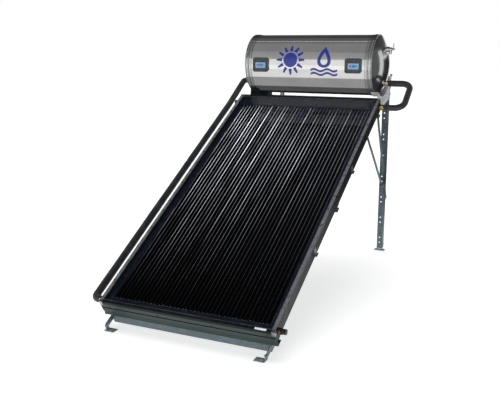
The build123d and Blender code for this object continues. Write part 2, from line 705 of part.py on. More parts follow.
with BuildPart() as relief_lever:
    for side in (-1, 1):
        cheek = sorted((port_y + side * 3.5, port_y + side * 5.5))
        box_between((lever_x - 4.5, cheek[0], upper_port_z - 4), (lever_x + 5, cheek[1], upper_port_z + 5))
    handle = (lever_x - 4.5, lever_x - 2)
    box_between((handle[0], port_y - 5.5, upper_port_z + 5), (handle[1], port_y + 5.5, upper_port_z + 38))
    with Locations(Location((lever_x, port_y, upper_port_z), (90, 0, 0))):
        Cylinder(1.65, 14, mode=Mode.SUBTRACT)
save(relief_lever, "relief_lever")

# --- Pipes between the collector and the tank ---------------------------------------------------
pipe_radius = 11.0
pipe_x = 568.0
loop_x = 655.0
elbow_radius = 24.0
bend_radius = 400.0
loop_radius = 60.0
joint_along = 1185.0
low_port = on_slope(0, port_rows[0], -header_depth)
high_port = on_slope(0, port_rows[1], -header_depth)
pipe_start = header_reach + 0.2
tank_left_port = tank_x - port_reach
tank_right_port = tank_x + port_reach

pipe_foot = Vector(-pipe_x, low_port.Y, low_port.Z)
pipe_bend = on_slope(-pipe_x, 1900, -30)
climb = (pipe_bend - pipe_foot).normalized()
tank_corner = Vector(-pipe_x, port_y, lower_port_z)
loop_corners = [Vector(loop_x, high_port.Y, high_port.Z), Vector(loop_x, port_y, lower_port_z)]


def straight_tube(start, end, outer, inner):
    """A straight tube between two points."""
    with BuildSketch(Plane(origin=start, z_dir=end - start)) as ring:
        Circle(outer)
        Circle(inner, mode=Mode.SUBTRACT)
    extrude(ring.sketch, amount=(end - start).length)


def bent_tube(points, radii, outer, inner):
    """A tube along straight runs joined by tangent arcs."""
    with BuildLine() as path:
        route = FilletPolyline(*points, radius=radii)
    with BuildSketch(Plane(origin=route @ 0, z_dir=route % 0)) as ring:
        Circle(outer)
        Circle(inner, mode=Mode.SUBTRACT)
    sweep(ring.sketch, path=path.line)


with BuildPart() as link_pipes:
    begin = Vector(-pipe_start, low_port.Y, low_port.Z)
    pipe_end = Vector(tank_left_port - 0.2, port_y, lower_port_z)
    bends = [elbow_radius, bend_radius, elbow_radius]
    bent_tube([begin, pipe_foot, pipe_bend, tank_corner, pipe_end], bends, pipe_radius, pipe_radius - 1)
    begin = Vector(pipe_start, high_port.Y, high_port.Z)
    pipe_end = Vector(tank_right_port + 0.2, port_y, lower_port_z)
    bent_tube([begin, *loop_corners, pipe_end], [loop_radius] * 2, pipe_radius, pipe_radius - 1)
save(link_pipes, "link_pipes")

with BuildPart() as sleeve_low:
    begin = Vector(-header_reach - 14, low_port.Y, low_port.Z)
    bent_tube([begin, pipe_foot, pipe_foot + climb * joint_along], [elbow_radius], sleeve_radius, pipe_radius)
save(sleeve_low, "downcomer_sleeve_lower")

with BuildPart() as sleeve_high:
    straight_tube(pipe_foot + climb * (joint_along + 1.5), pipe_bend - climb * 60, sleeve_radius, pipe_radius)
    last = tank_corner + (pipe_bend - tank_corner).normalized() * (elbow_radius + 1)
    bent_tube([pipe_bend - climb * 60, pipe_bend, last], [bend_radius], sleeve_radius, pipe_radius)
save(sleeve_high, "downcomer_sleeve_upper")

with BuildPart() as loop_sleeve:
    begin = Vector(header_reach + 16, high_port.Y, high_port.Z)
    sleeve_end = Vector(tank_right_port + 14, port_y, lower_port_z)
    bent_tube([begin, *loop_corners, sleeve_end], [loop_radius] * 2, sleeve_radius, pipe_radius)
save(loop_sleeve, "hot_loop_sleeve")

union_radius = 19.0
with BuildPart() as unions:
    for place, x0, x1 in (
        (low_port, -header_reach - 12, -header_reach + 10),
        (high_port, header_reach - 10, header_reach + 12),
        (tank_corner, tank_left_port - 6, tank_left_port),
        (tank_corner, tank_right_port, tank_right_port + 12),
    ):
        with BuildSketch(Plane(origin=(x0, place.Y, place.Z), z_dir=(1, 0, 0))):
            RegularPolygon(union_radius, 6)
            Circle(pipe_radius, mode=Mode.SUBTRACT)
        extrude(amount=x1 - x0)
    for side, place in ((1, low_port), (-1, high_port)):
        with BuildSketch(Plane(origin=(side * (side_out + 3.2), place.Y, place.Z), z_dir=(side, 0, 0))):
            RegularPolygon(17, 6)
            Circle(header_radius, mode=Mode.SUBTRACT)
        extrude(amount=6)
save(unions, "pipe_nuts")

cap_start = side_out + 9.5
for name, side, place in (("front_right", 1, low_port), ("rear_left", -1, high_port)):
    with BuildPart() as cap:
        span = sorted((side * cap_start, side * (cap_start + 30)))
        rod_along_x(span[0], span[1], place.Y, place.Z, 14)
        collar = sorted((side * cap_start, side * (cap_start + 8)))
        rod_along_x(collar[0], collar[1], place.Y, place.Z, 17)
        bore = sorted((side * (cap_start - 1), side * (header_reach + 0.5)))
        rod_along_x(bore[0], bore[1], place.Y, place.Z, header_radius + 0.06, Mode.SUBTRACT)
        for turn in range(12):
            angle = turn * 30
            grip_y = place.Y + 14 * cos(radians(angle))
            grip_z = place.Z + 14 * sin(radians(angle))
            grip = sorted((side * (cap_start + 10), side * (cap_start + 31)))
            rod_along_x(grip[0], grip[1], grip_y, grip_z, 1.2, Mode.SUBTRACT)
    save(cap, f"blank_cap_{name}")
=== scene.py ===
"""Solar water heater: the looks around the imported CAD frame, in metres, +Y to the back, +Z up."""

import random
from math import atan2, ceil, cos, exp, pi, radians, sin, sqrt, tan

import bmesh
import bpy
from mathutils import Matrix, Vector


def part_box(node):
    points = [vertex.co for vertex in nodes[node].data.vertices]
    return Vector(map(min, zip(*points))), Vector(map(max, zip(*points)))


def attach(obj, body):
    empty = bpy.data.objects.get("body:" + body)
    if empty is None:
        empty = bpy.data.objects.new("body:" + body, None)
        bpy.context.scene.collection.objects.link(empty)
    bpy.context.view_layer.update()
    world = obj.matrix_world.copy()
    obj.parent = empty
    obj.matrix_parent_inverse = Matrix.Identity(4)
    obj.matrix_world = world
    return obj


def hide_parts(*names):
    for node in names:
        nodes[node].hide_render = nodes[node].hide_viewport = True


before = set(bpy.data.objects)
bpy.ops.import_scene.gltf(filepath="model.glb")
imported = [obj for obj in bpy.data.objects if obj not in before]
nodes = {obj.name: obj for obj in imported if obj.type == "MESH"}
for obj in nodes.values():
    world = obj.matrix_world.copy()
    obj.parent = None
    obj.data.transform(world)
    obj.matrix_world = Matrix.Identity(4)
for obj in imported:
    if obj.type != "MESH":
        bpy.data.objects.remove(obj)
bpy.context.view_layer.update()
BASE = "stand_and_tank"
rng = random.Random(7)


# --- Reference places, read from the frame ---
def corners(node):
    return [v.co.copy() for v in nodes[node].data.vertices]


glass_corners = corners("glass")
glass_front = min(glass_corners, key=lambda c: (round(c.y, 5), -c.z))
glass_rear = max(glass_corners, key=lambda c: c.z)
climb = Vector((0, glass_rear.y - glass_front.y, glass_rear.z - glass_front.z)).normalized()
out_of_glass = Vector((0, -climb.z, climb.y))
TILT = atan2(climb.z, climb.y)
GLASS_INSET = 0.010
GLASS_DROP = 0.0025
HALF_WIDTH = max(c.x for c in glass_corners) + GLASS_INSET
glass_length = (glass_rear - glass_front).dot(climb)
LENGTH = glass_length + 2 * GLASS_INSET
slope_origin = glass_front - climb * GLASS_INSET + out_of_glass * GLASS_DROP
slope_origin.x = 0


def on_slope(x, along, up):
    """The world place of a point given across, up the slope and out of the glass."""
    return slope_origin + Vector((x, 0, 0)) + climb * along + out_of_glass * up


shell_low, shell_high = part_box("tank_shell")
TANK_AXIS = (shell_low + shell_high) / 2
TANK_RADIUS = (shell_high.y - shell_low.y) / 2
RIM_LEFT, RIM_RIGHT = shell_low.x, shell_high.x


# --- Node helpers for materials ---
def new_material(name, color, metallic=0.0, roughness=0.5, **sockets):
    """A material whose Principled shader holds the constants; returns the material and its shader."""
    mat = bpy.data.materials.new(name)
    mat.use_nodes = True
    bsdf = mat.node_tree.nodes["Principled BSDF"]
    bsdf.inputs["Base Color"].default_value = (*color, 1.0)
    bsdf.inputs["Metallic"].default_value = metallic
    bsdf.inputs["Roughness"].default_value = roughness
    for key, value in sockets.items():
        bsdf.inputs[key.replace("_", " ")].default_value = value
    return mat, bsdf


def add_node(owner, kind, sockets=(), **settings):
    """A node beside a socket or in a material, with settings and pairs of sockets and constants."""
    node = getattr(owner, "node_tree", owner.id_data).nodes.new("ShaderNode" + kind)
    for key, value in settings.items():
        setattr(node, key, value)
    for key, value in sockets:
        node.inputs[key].default_value = value
    return node


def join(source, target):
    source.id_data.links.new(source, target)


def place(mat, size, turn=(0, 0, 0)):
    """Object coordinates divided by a feature size, or one for each axis, after undoing a turn."""
    size = size if isinstance(size, tuple) else (size, size, size)
    mapping = add_node(mat, "Mapping", (("Rotation", turn), ("Scale", size)), vector_type="TEXTURE")
    join(add_node(mat, "TexCoord").outputs["Object"], mapping.inputs["Vector"])
    return mapping.outputs["Vector"]


def noise(mat, size, turn=(0, 0, 0), detail=3.0):
    node = add_node(mat, "TexNoise", (("Scale", 1.0), ("Detail", detail), ("Roughness", 0.55)))
    join(place(mat, size, turn), node.inputs["Vector"])
    return node.outputs["Fac"]


def remap(value, low, high, start=0.3, stop=0.7):
    limits = (("From Min", start), ("From Max", stop), ("To Min", low), ("To Max", high))
    node = add_node(value, "MapRange", limits)
    join(value, node.inputs["Value"])
    return node.outputs["Result"]


def ramp(value, *stops):
    """A colour ramp; each stop is a place and a colour."""
    node = add_node(value, "ValToRGB")
    band = node.color_ramp
    while len(band.elements) < len(stops):
        band.elements.new(0.5)
    for element, (at, color) in zip(band.elements, stops):
        element.position = at
        element.color = (*color, 1.0)
    join(value, node.inputs["Fac"])
    return node.outputs["Color"]


def mix(share, low, high):
    """Colour low where share is 0 and high where it is 1; each is a socket or a colour."""
    node = add_node(share, "Mix", data_type="RGBA")
    join(share, node.inputs["Factor"])
    for key, value in ((6, low), (7, high)):
        if isinstance(value, tuple):
            node.inputs[key].default_value = (*value, 1.0)
        else:
            join(value, node.inputs[key])
    return node.outputs[2]


def add_bump(bsdf, height, distance, strength=1.0, soft_edge=0.0):
    """Bump from a height, over edges that read as rounded when soft_edge is given."""
    node = add_node(height, "Bump", (("Strength", strength), ("Distance", distance)))
    join(height, node.inputs["Height"])
    if soft_edge:
        bevel = add_node(height, "Bevel", (("Radius", soft_edge),), samples=4)
        join(bevel.outputs["Normal"], node.inputs["Normal"])
    join(node.outputs["Normal"], bsdf.inputs["Normal"])


def coordinate(vector, axis):
    """One coordinate of a vector socket."""
    split = add_node(vector, "SeparateXYZ")
    join(vector, split.inputs["Vector"])
    return split.outputs[axis]


def rise_along(mat, axis, start, end, of="Object", high=1.0):
    """0 to high as the object's own X, Y or Z, or its normal's, runs from start to end."""
    vector = add_node(mat, "TexCoord").outputs[of]
    return remap(coordinate(vector, axis), 0.0, high, start, end)


def shade(color, factor, lift=0.0):
    """A colour made darker or lighter, and never past 1."""
    return tuple(min(1, c * factor + lift) for c in color)


def coat(bsdf, color, roughness=None):
    """Joins a colour, and a roughness where one is given, to the shader."""
    join(color, bsdf.inputs["Base Color"])
    if roughness:
        join(roughness, bsdf.inputs["Roughness"])


def worn_edges(mat, radius):
    """1 near sharp edges and 0 on flat stretches."""
    bevel = add_node(mat, "Bevel", (("Radius", radius),), samples=4)
    dot = add_node(mat, "VectorMath", operation="DOT_PRODUCT")
    join(bevel.outputs["Normal"], dot.inputs[0])
    join(add_node(mat, "NewGeometry").outputs["Normal"], dot.inputs[1])
    return remap(dot.outputs["Value"], 1.0, 0.0, 0.88, 0.995)


SLOPE_TURN = (TILT, 0, 0)


# --- Materials ---
def surface(
    name, base, cloud, tones, turn=(0, 0, 0), fine=None, marks=None, edge=None, rough=None, bump=None,
    bump_by_cloud=False, overlay=None, metallic=0.0, roughness=0.5, **sockets,
):
    """A surface whose colour, roughness and relief come from clouds, fine marks and rubbed edges.

    cloud and fine are a feature size and a detail. tones are two places on the cloud with their tones,
    marks the greatest share of the fine pattern and its tone, and edge a radius and its tone; a tone is
    a colour or a factor on the base. rough is two limits by the cloud, and bump what add_bump takes.
    """
    def toned(tone):
        return tone if isinstance(tone, tuple) else shade(base, tone)

    mat, bsdf = new_material(name, base, metallic, roughness, **sockets)
    cloudy = noise(mat, cloud[0], turn, cloud[1])
    pattern = noise(mat, fine[0], turn, fine[1]) if fine else cloudy
    color = ramp(cloudy, *((at, toned(tone)) for at, tone in tones))
    if marks:
        color = mix(remap(pattern, 0.0, marks[0]), color, toned(marks[1]))
    if edge:
        color = mix(worn_edges(mat, edge[0]), color, toned(edge[1]))
    if overlay:
        color = overlay(mat, bsdf, color)
    coat(bsdf, color, remap(cloudy, *rough) if rough else None)
    if bump:
        add_bump(bsdf, cloudy if bump_by_cloud else pattern, *bump)
    return mat


def stainless(name, base=(0.72, 0.72, 0.715), roughness=0.1, grain=(0.4, 0.0006, 0.0006)):
    """Bright-rolled stainless sheet with a fine rolling grain and faint handling marks."""
    return surface(
        name, base, ((0.18, 0.12, 0.12), 4.0), ((0.3, 0.93), (0.7, 1.05)), fine=(grain, 2.0),
        marks=(0.25, 0.8), rough=(roughness - 0.03, roughness + 0.06), bump=(0.00002, 0.35),
        metallic=1.0, roughness=roughness,
    )


def galvanised(name, base=(0.13, 0.17, 0.185), turn=(0, 0, 0), metallic=0.75):
    """Hot-dip zinc: crystal spangle, dull patches, and edges that are rubbed brighter."""
    mat, bsdf = new_material(name, base, metallic=metallic, roughness=0.42)
    crystals = add_node(mat, "TexVoronoi", (("Scale", 1.0),))
    join(place(mat, 0.011, turn), crystals.inputs["Vector"])
    grey = add_node(mat, "RGBToBW")
    join(crystals.outputs["Color"], grey.inputs["Color"])
    spangle = grey.outputs["Val"]
    patch = noise(mat, 0.06, turn, detail=5.0)
    tone = ramp(spangle, (0.2, shade(base, 0.8)), (0.8, shade(base, 1.22)))
    dull = mix(remap(patch, 0.0, 0.45, 0.45, 0.75), tone, shade(base, 0.62))
    bright = mix(worn_edges(mat, 0.0015), dull, shade(base, 1.45))
    coat(bsdf, bright, remap(spangle, 0.34, 0.52, 0.1, 0.9))
    add_bump(bsdf, patch, 0.0004, 0.4, soft_edge=0.0012)
    return mat


CASE_COLOUR = (0.042, 0.066, 0.062)


def case_aluminium(name, overlay=None, metallic=0.35, gloss=0.3):
    """Grey-green anodised extrusion with die lines along its length and dust near the edges."""
    return surface(
        name, CASE_COLOUR, ((0.09, 0.09, 0.03), 5.0), ((0.3, 0.82), (0.75, 1.25)), SLOPE_TURN,
        fine=((0.5, 0.5, 0.0011), 2.0), marks=(0.35, 0.75), edge=(0.0012, 1.9), rough=(0.36, 0.56),
        bump=(0.00008, 0.5, 0.001), overlay=overlay, metallic=metallic, roughness=0.45,
        Specular_IOR_Level=gloss,
    )


def painted_shade_toward_rear(mat, bsdf, color):
    """Painted shade on the case sides, deepening up the slope toward the rear."""
    return mix(rise_along(mat, "Y", -1.0, -0.5, high=0.94), color, shade(CASE_COLOUR, 0.12))


def bright_aluminium(name, base, metallic=0.9, overlay=None):
    """Mill-finish trim with drawing lines along the slope and small dents."""
    return surface(
        name, base, ((0.05, 0.035, 0.05), 4.0), ((0.35, 0.7), (0.6, 1.0)), SLOPE_TURN,
        fine=((0.0012, 0.6, 0.0012), 2.0), marks=(0.4, 0.7), rough=(0.22, 0.42),
        bump=(0.0006, 0.5, 0.001), bump_by_cloud=True, overlay=overlay, metallic=metallic, roughness=0.3,
    )


def painted_shade_on_right_faces(mat, bsdf, color):
    """Painted shade: near-black and less glossy on whatever faces right, standing in for the shadow on that
    side.
    """
    normal = add_node(mat, "NewGeometry").outputs["Normal"]
    flank = remap(coordinate(normal, "X"), 0.0, 1.0, 0.5, 0.9)
    join(remap(flank, 0.5, 0.05, 0.0, 1.0), bsdf.inputs["Specular IOR Level"])
    return mix(flank, color, (0.012, 0.015, 0.014))


def dark_trim(name, base=(0.004, 0.0045, 0.005), gloss=0.12):
    """Painted end trim: near black, a little glossy, chipped to metal on its edges."""
    return surface(
        name, base, ((0.08, 0.03, 0.03), 5.0), ((0.35, 1.0), (0.75, 2.6)), edge=(0.001, (0.13, 0.13, 0.125)),
        rough=(0.28, 0.55), bump=(0.0004, 0.3, 0.001), roughness=0.42, Specular_IOR_Level=gloss,
    )


def selective_black(name, base=(0.011, 0.012, 0.016), flank=(0.5, 0.52, 0.58)):
    """The absorber's coating: a dark mirror streaked along each fin, with a painted highlight on the beads'
    right-facing flanks.
    """
    mat, bsdf = new_material(name, base, metallic=1.0, roughness=0.24)
    streak = noise(mat, (0.004, 0.5, 0.01), SLOPE_TURN, detail=2.0)
    patch = noise(mat, (0.2, 0.35, 0.2), SLOPE_TURN, detail=3.0)
    tone = ramp(streak, (0.35, base), (0.75, shade(base, 1.5)))
    patchy = mix(remap(patch, 0.0, 0.7), tone, shade(base, 0.55))
    # Painted highlight: right-facing bead flanks get a light, uneven colour for the lamp's reflection,
    # fading toward the front and the right.
    on_bead = rise_along(mat, "X", 0.12, 0.4, of="Normal")
    uneven = noise(mat, (0.012, 0.7, 0.02), SLOPE_TURN, detail=3.0)
    flank_highlight = mix(remap(uneven, 0.0, 1.0, 0.42, 0.62), shade(flank, 0.12), flank)
    beaded = mix(on_bead, patchy, flank_highlight)
    highlight_fading_to_front = mix(rise_along(mat, "Y", -0.9, 0.5), shade(base, 0.5), beaded)
    highlight_fading_to_right = mix(rise_along(mat, "X", -0.25, 0.45), highlight_fading_to_front, base)
    coat(bsdf, highlight_fading_to_right, remap(on_bead, 0.26, 0.5, 0.0, 1.0))
    return mat


def clear_glass(name):
    """Low-iron solar glass: it mirrors by Fresnel and is clear otherwise, with a faint dusting."""
    mat, bsdf = new_material(name, (0.93, 0.96, 0.96), metallic=1.0, roughness=0.035)
    fresnel = add_node(mat, "Fresnel", (("IOR", 1.33),))
    smear = noise(mat, (0.25, 0.4, 0.25), SLOPE_TURN, detail=5.0)
    join(remap(smear, 0.03, 0.07), bsdf.inputs["Roughness"])
    entering = add_node(mat, "Math", ((0, 1.0),), operation="SUBTRACT")
    join(add_node(mat, "NewGeometry").outputs["Backfacing"], entering.inputs[1])
    share = add_node(mat, "Math", operation="MULTIPLY")
    join(fresnel.outputs["Fac"], share.inputs[0])
    join(entering.outputs[0], share.inputs[1])
    join(share.outputs[0], bsdf.inputs["Alpha"])
    return mat


def pipe_foam(name):
    """Closed-cell elastomer: fine skin pores, and rubbed grey patches."""
    return surface(
        name, (0.017, 0.019, 0.025), (0.05, 5.0), ((0.45, 1.0), (0.8, (0.05, 0.051, 0.053))),
        fine=(0.0022, 2.0), marks=(0.5, 0.6), rough=(0.34, 0.55), bump=(0.0003, 0.35),
        roughness=0.4, Sheen_Weight=0.15, Sheen_Roughness=0.4,
    )


def rubber(name, base=(0.012, 0.012, 0.013), gloss=0.5):
    return surface(
        name, base, (0.03, 5.0), ((0.45, 1.0), (0.8, 3.5)), rough=(0.5, 0.75),
        bump=(0.0004, 0.4, 0.001), roughness=0.6, Specular_IOR_Level=gloss,
    )


def moulded(name, base, roughness=0.42):
    """Moulded plastic with a fine spark-eroded grain and lighter handled edges."""
    return surface(
        name, base, (0.04, 4.0), ((0.35, 0.8), (0.7, shade(base, 1.25, 0.004))), fine=(0.0011, 1.0),
        edge=(0.0012, shade(base, 1.8, 0.02)), rough=(roughness - 0.06, roughness + 0.08),
        bump=(0.0001, 0.5, 0.001), roughness=roughness,
    )


def turned_metal(name, base, roughness=0.28, stain=0.6):
    """Brass, copper or zinc fittings: machining marks, darker stains in patches and lighter edges."""
    return surface(
        name, base, (0.012, 5.0), ((0.35, 1.0), (0.8, stain)), fine=((0.0008, 0.01, 0.01), 2.0),
        edge=(0.0008, 1.25), rough=(roughness - 0.08, roughness + 0.2), bump=(0.00006, 0.5, 0.0008),
        metallic=1.0, roughness=roughness,
    )


def wool(name):
    return surface(
        name, (0.62, 0.53, 0.27), ((0.012, 0.0015, 0.0015), 4.0), ((0.3, 0.6), (0.7, (0.78, 0.7, 0.42))),
        rough=(0.85, 1.0), bump=(0.002, 0.8), roughness=0.95, Sheen_Weight=0.3,
    )


def rigid_foam(name):
    return surface(
        name, (0.74, 0.63, 0.38), (0.004, 4.0), ((0.35, 0.8), (0.7, (0.82, 0.73, 0.5))),
        bump=(0.0015, 0.6), roughness=0.8,
    )


def printed(name, base, roughness=0.35, dark=0.85):
    """A printed film: slightly uneven ink under a thin clear coat."""
    return surface(
        name, base, (0.02, 4.0), ((0.3, dark), (0.7, 1.0)), rough=(roughness - 0.05, roughness + 0.1),
        roughness=roughness, Coat_Weight=0.4, Coat_Roughness=0.15,
    )


looks = {
    "shell": stainless("stainless_shell"),
    "dish": stainless(
        "stainless_dish", (0.56, 0.57, 0.57), roughness=0.16, grain=(0.02, 0.0015, 0.0015),
    ),
    "vessel": stainless("stainless_vessel", (0.5, 0.5, 0.5), roughness=0.35),
    "zinc_angle": galvanised("galvanised_angle"),
    "zinc_slope": galvanised("galvanised_rail", (0.135, 0.175, 0.2), turn=SLOPE_TURN),
    "zinc_foot": galvanised("galvanised_foot", (0.27, 0.31, 0.34), metallic=0.25),
    # Right saddle: the same galvanised steel made much lighter, as painted light.
    "zinc_painted_lit": galvanised("galvanised_painted_lit", (0.62, 0.65, 0.68), metallic=0.3),
    # Left saddle: the same galvanised steel darkened, as painted shade.
    "zinc_painted_shade": galvanised("galvanised_painted_shade", (0.05, 0.055, 0.06)),
    "case": case_aluminium("case_extrusion"),
    # Case sides: the extrusion with painted shade that deepens toward the rear.
    "case_flank": case_aluminium("case_flank", painted_shade_toward_rear, metallic=0.1, gloss=0.08),
    "trim": bright_aluminium("glazing_trim", (0.45, 0.46, 0.48)),
    # Right trim: a darker copy of the trim, with painted shade on its right-facing faces.
    "trim_painted_shade": bright_aluminium(
        "glazing_trim_dark_flank", (0.25, 0.25, 0.27), metallic=0.5, overlay=painted_shade_on_right_faces,
    ),
    # Left trim: a much lighter copy of the trim, as painted light where it catches the light.
    "trim_painted_lit": bright_aluminium("glazing_trim_bright", (0.88, 0.89, 0.9)),
    "liner": dark_trim("liner_paint", (0.004, 0.006, 0.012), gloss=0.04),
    "dark_trim": dark_trim("painted_trim"),
    "absorber": selective_black("selective_coating"),
    "glass": clear_glass("solar_glass"),
    "foam_sleeve": pipe_foam("pipe_insulation"),
    "rubber": rubber("epdm_rubber"),
    "shadow_gap": rubber("groove_painted_shade", (0.004, 0.004, 0.004), gloss=0.0),
    "bead": rubber("glazing_lip", (0.05, 0.052, 0.055)),
    "cover": moulded("cover_plastic", (0.045, 0.05, 0.056)),
    "black_cap": moulded("black_plastic", (0.004, 0.004, 0.005), roughness=0.5),
    "lever": moulded("lever_plastic", (0.34, 0.055, 0.04), roughness=0.35),
    "brass": turned_metal("machined_brass", (0.72, 0.52, 0.2)),
    "copper": turned_metal("copper_tube", (0.75, 0.4, 0.26), roughness=0.3, stain=0.4),
    "black_screws_and_shade_lines": turned_metal("black_oxide_and_painted_shade", (0.05, 0.05, 0.05), roughness=0.4),
    "fastener": turned_metal("zinc_fastener", (0.55, 0.56, 0.56), roughness=0.32),
    "magnesium": turned_metal("magnesium_rod", (0.5, 0.5, 0.49), roughness=0.55),
    "wool": wool("mineral_wool"),
    "rigid_foam": rigid_foam("polyurethane_foam"),
    "decal": printed("decal_blue", (0.012, 0.03, 0.33)),
    "label": printed("label_blue", (0.2, 0.52, 0.82), roughness=0.25),
    "label_dark": printed("label_dark_blue", (0.02, 0.07, 0.24), roughness=0.3),
    "label_red": printed("label_red", (0.6, 0.02, 0.03), roughness=0.3),
    "plate": printed("rating_plate", (0.78, 0.79, 0.8), roughness=0.3, dark=0.9),
}

finishes = {
    "shell": "tank_shell",
    "dish": "tank_end_left tank_end_right rim_rings tank_ports relief_valve",
    "vessel": "inner_tank",
    "zinc_angle": "leg_left leg_right rear_cross_bar strut_long_left "
    "strut_long_right strut_short_left strut_short_right",
    "zinc_foot": "foot_front_left foot_front_right foot_rear_left foot_rear_right",
    "zinc_slope": "rail_left rail_right mount_rails front_cross_bar side_clips back_sheet",
    "zinc_painted_lit": "saddle_right",
    "zinc_painted_shade": "saddle_left",
    "case": "case_end_front case_end_rear",
    "case_flank": "case_side_left case_side_right",
    "trim": "corner_caps",
    "liner": "trim_rear",
    "trim_painted_shade": "trim_right",
    "trim_painted_lit": "trim_left",
    "dark_trim": "trim_front",
    "absorber": "absorber_plate",
    "glass": "glass",
    "foam_sleeve": "downcomer_sleeve_lower downcomer_sleeve_upper hot_loop_sleeve",
    "rubber": "glass_gasket header_grommets",
    "cover": "heater_cover thermostat_cover thermostat",
    "black_cap": "blank_cap_front_right blank_cap_rear_left thermostat_knob",
    "lever": "relief_lever",
    "brass": "pipe_nuts immersion_heater",
    "copper": "header_tubes riser_tubes link_pipes",
    "fastener": "small_screws stand_bolts",
    "magnesium": "anode_rod",
    "wool": "back_wool",
    "rigid_foam": "tank_foam",
}
for look, members in finishes.items():
    for node in members.split():
        nodes[node].data.materials.clear()
        nodes[node].data.materials.append(looks[look])


# --- Mesh helpers ---
def put(name, data):
    """A new object in the scene."""
    obj = bpy.data.objects.new(name, data)
    bpy.context.scene.collection.objects.link(obj)
    return obj


def put_mesh(name, bm):
    """A new object in the scene from a bmesh, which is freed."""
    mesh = bpy.data.meshes.new(name)
    bm.to_mesh(mesh)
    bm.free()
    return put(name, mesh)


def add_piece(name, bm, look, body=BASE, replaces=(), sharp=35):
    """Turns a bmesh into a piece that rides on a body, smooth except across sharp edges."""
    bmesh.ops.recalc_face_normals(bm, faces=bm.faces)
    obj = put_mesh(name, bm)
    obj.data.materials.append(looks[look])
    obj.data.shade_smooth()
    obj.data.set_sharp_from_angle(angle=radians(sharp))
    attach(obj, body)
    if replaces:
        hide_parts(*replaces)
    return obj


def stitch(bm, a, b, closed=False):
    """Quads between two rows of vertices."""
    for i in range(len(a) if closed else len(a) - 1):
        k = (i + 1) % len(a)
        bm.faces.new((a[i], a[k], b[k], b[i]))


def skin(bm, rows, closed_rows=False, closed_loop=False):
    """Quads between rows of points; rows may close on themselves and the last may meet the first."""
    grid = [[bm.verts.new(p) for p in row] for row in rows]
    pairs = list(zip(grid, grid[1:])) + ([(grid[-1], grid[0])] if closed_loop else [])
    for a, b in pairs:
        stitch(bm, a, b, closed_rows)
    return grid


def slab(bm, across, along, top, bottom):
    """A closed sheet on the slope between two height functions of the place across and along."""
    upper = skin(bm, [[on_slope(x, s, top(x, s)) for x in across] for s in along])
    lower = skin(bm, [[on_slope(x, s, bottom(x, s)) for x in across] for s in along])
    for end in (0, -1):
        stitch(bm, [row[end] for row in upper], [row[end] for row in lower])
        stitch(bm, upper[end], lower[end])


def spread(low, high, step):
    """Evenly spaced numbers from low to high, no further apart than step."""
    count = max(1, ceil((high - low) / step - 1e-9))
    return [low + (high - low) * i / count for i in range(count + 1)]


def tube(bm, rings):
    """Closed rings joined to a solid, with both ends filled."""
    grid = skin(bm, rings, closed_rows=True)
    bm.faces.new(grid[0])
    bm.faces.new(list(reversed(grid[-1])))


def extrude_along(bm, outline, ends, place_at):
    """A prism: a closed outline of pairs, placed at each of the ends."""
    tube(bm, [[place_at(end, a, b) for a, b in outline] for end in ends])


def frame_about(axis):
    """Two directions square to an axis and to each other."""
    axis = Vector(axis).normalized()
    side = axis.orthogonal().normalized()
    return side, axis.cross(side)


def turns_of(steps):
    """Angles evenly spaced round a full turn."""
    return [2 * pi * k / steps for k in range(steps)]


def ring_of(centre, side, other, radius, steps):
    """Points on a circle in the plane of two directions."""
    return [centre + (side * cos(t) + other * sin(t)) * radius for t in turns_of(steps)]


def lathe(bm, base, axis, profile, steps=32):
    """A turned solid: a profile of pairs, distance along the axis and radius, from end to end."""
    axis = Vector(axis).normalized()
    side, other = frame_about(axis)
    tube(bm, [ring_of(base + axis * along, side, other, radius, steps) for along, radius in profile])


def rounded_box(bm, centre, size, axes, radius):
    """A box with rounded edges, along any three directions."""
    made = bmesh.ops.create_cube(bm, size=1.0)
    basis = Matrix([Vector(a) * s for a, s in zip(axes, size)]).transposed().to_4x4()
    bmesh.ops.transform(bm, matrix=Matrix.Translation(centre) @ basis, verts=made["verts"])
    edges = list({e for v in made["verts"] for e in v.link_edges})
    bmesh.ops.bevel(bm, geom=edges, offset=radius, segments=2, affect="EDGES", profile=0.5)


def islands(node):
    """Lowest and highest corners of each separate solid of a node."""
    bm = bmesh.new()
    bm.from_mesh(nodes[node].data)
    bmesh.ops.remove_doubles(bm, verts=bm.verts, dist=1e-5)
    left, found = dict.fromkeys(bm.verts), []
    while left:
        group = [next(iter(left))]
        del left[group[0]]
        for vert in group:
            for other in (edge.other_vert(vert) for edge in vert.link_edges):
                if other in left:
                    del left[other]
                    group.append(other)
        found.append([Vector([pick(v.co[i] for v in group) for i in range(3)]) for pick in (min, max)])
    bm.free()
    return found


# --- Absorber: strips with a bead over each riser, small beads between, and lapped edges ---
RISER_PITCH = 0.094
RISER_COUNT = 10
ABSORBER_HALF = 0.470
ABSORBER_START, ABSORBER_END = 0.062, LENGTH - 0.062
ABSORBER_TOP, ABSORBER_UNDER = -0.0312, -0.0320
BEAD_HALF, BEAD_RISE = 0.0034, 0.0034
SMALL_HALF, SMALL_RISE = 0.0022, 0.0024
SMALL_AT = RISER_PITCH / 4
LAP_HALF, LAP_RISE = 0.0022, 0.0022


def arch(distance, half, rise):
    return rise * sqrt(max(0.0, 1 - (distance / half) ** 2)) if abs(distance) < half else 0.0


def absorber_height(x, s):
    """The coated strips, from their beads, their lapped edges and a slight unevenness."""
    place_in = (x + RISER_PITCH * RISER_COUNT / 2) % RISER_PITCH - RISER_PITCH / 2
    strip = (x + RISER_PITCH * RISER_COUNT / 2) / RISER_PITCH // 1
    rise = arch(place_in, BEAD_HALF, BEAD_RISE)
    rise += arch(abs(place_in) - SMALL_AT, SMALL_HALF, SMALL_RISE)
    rise += arch(abs(place_in) - RISER_PITCH / 2, LAP_HALF, LAP_RISE)
    wave = sin(s * 21 + strip * 1.7) * sin(s * 5.3 + strip * 2.9)
    return ABSORBER_TOP + rise + 0.00012 * wave * cos(place_in / RISER_PITCH * 2 * pi)


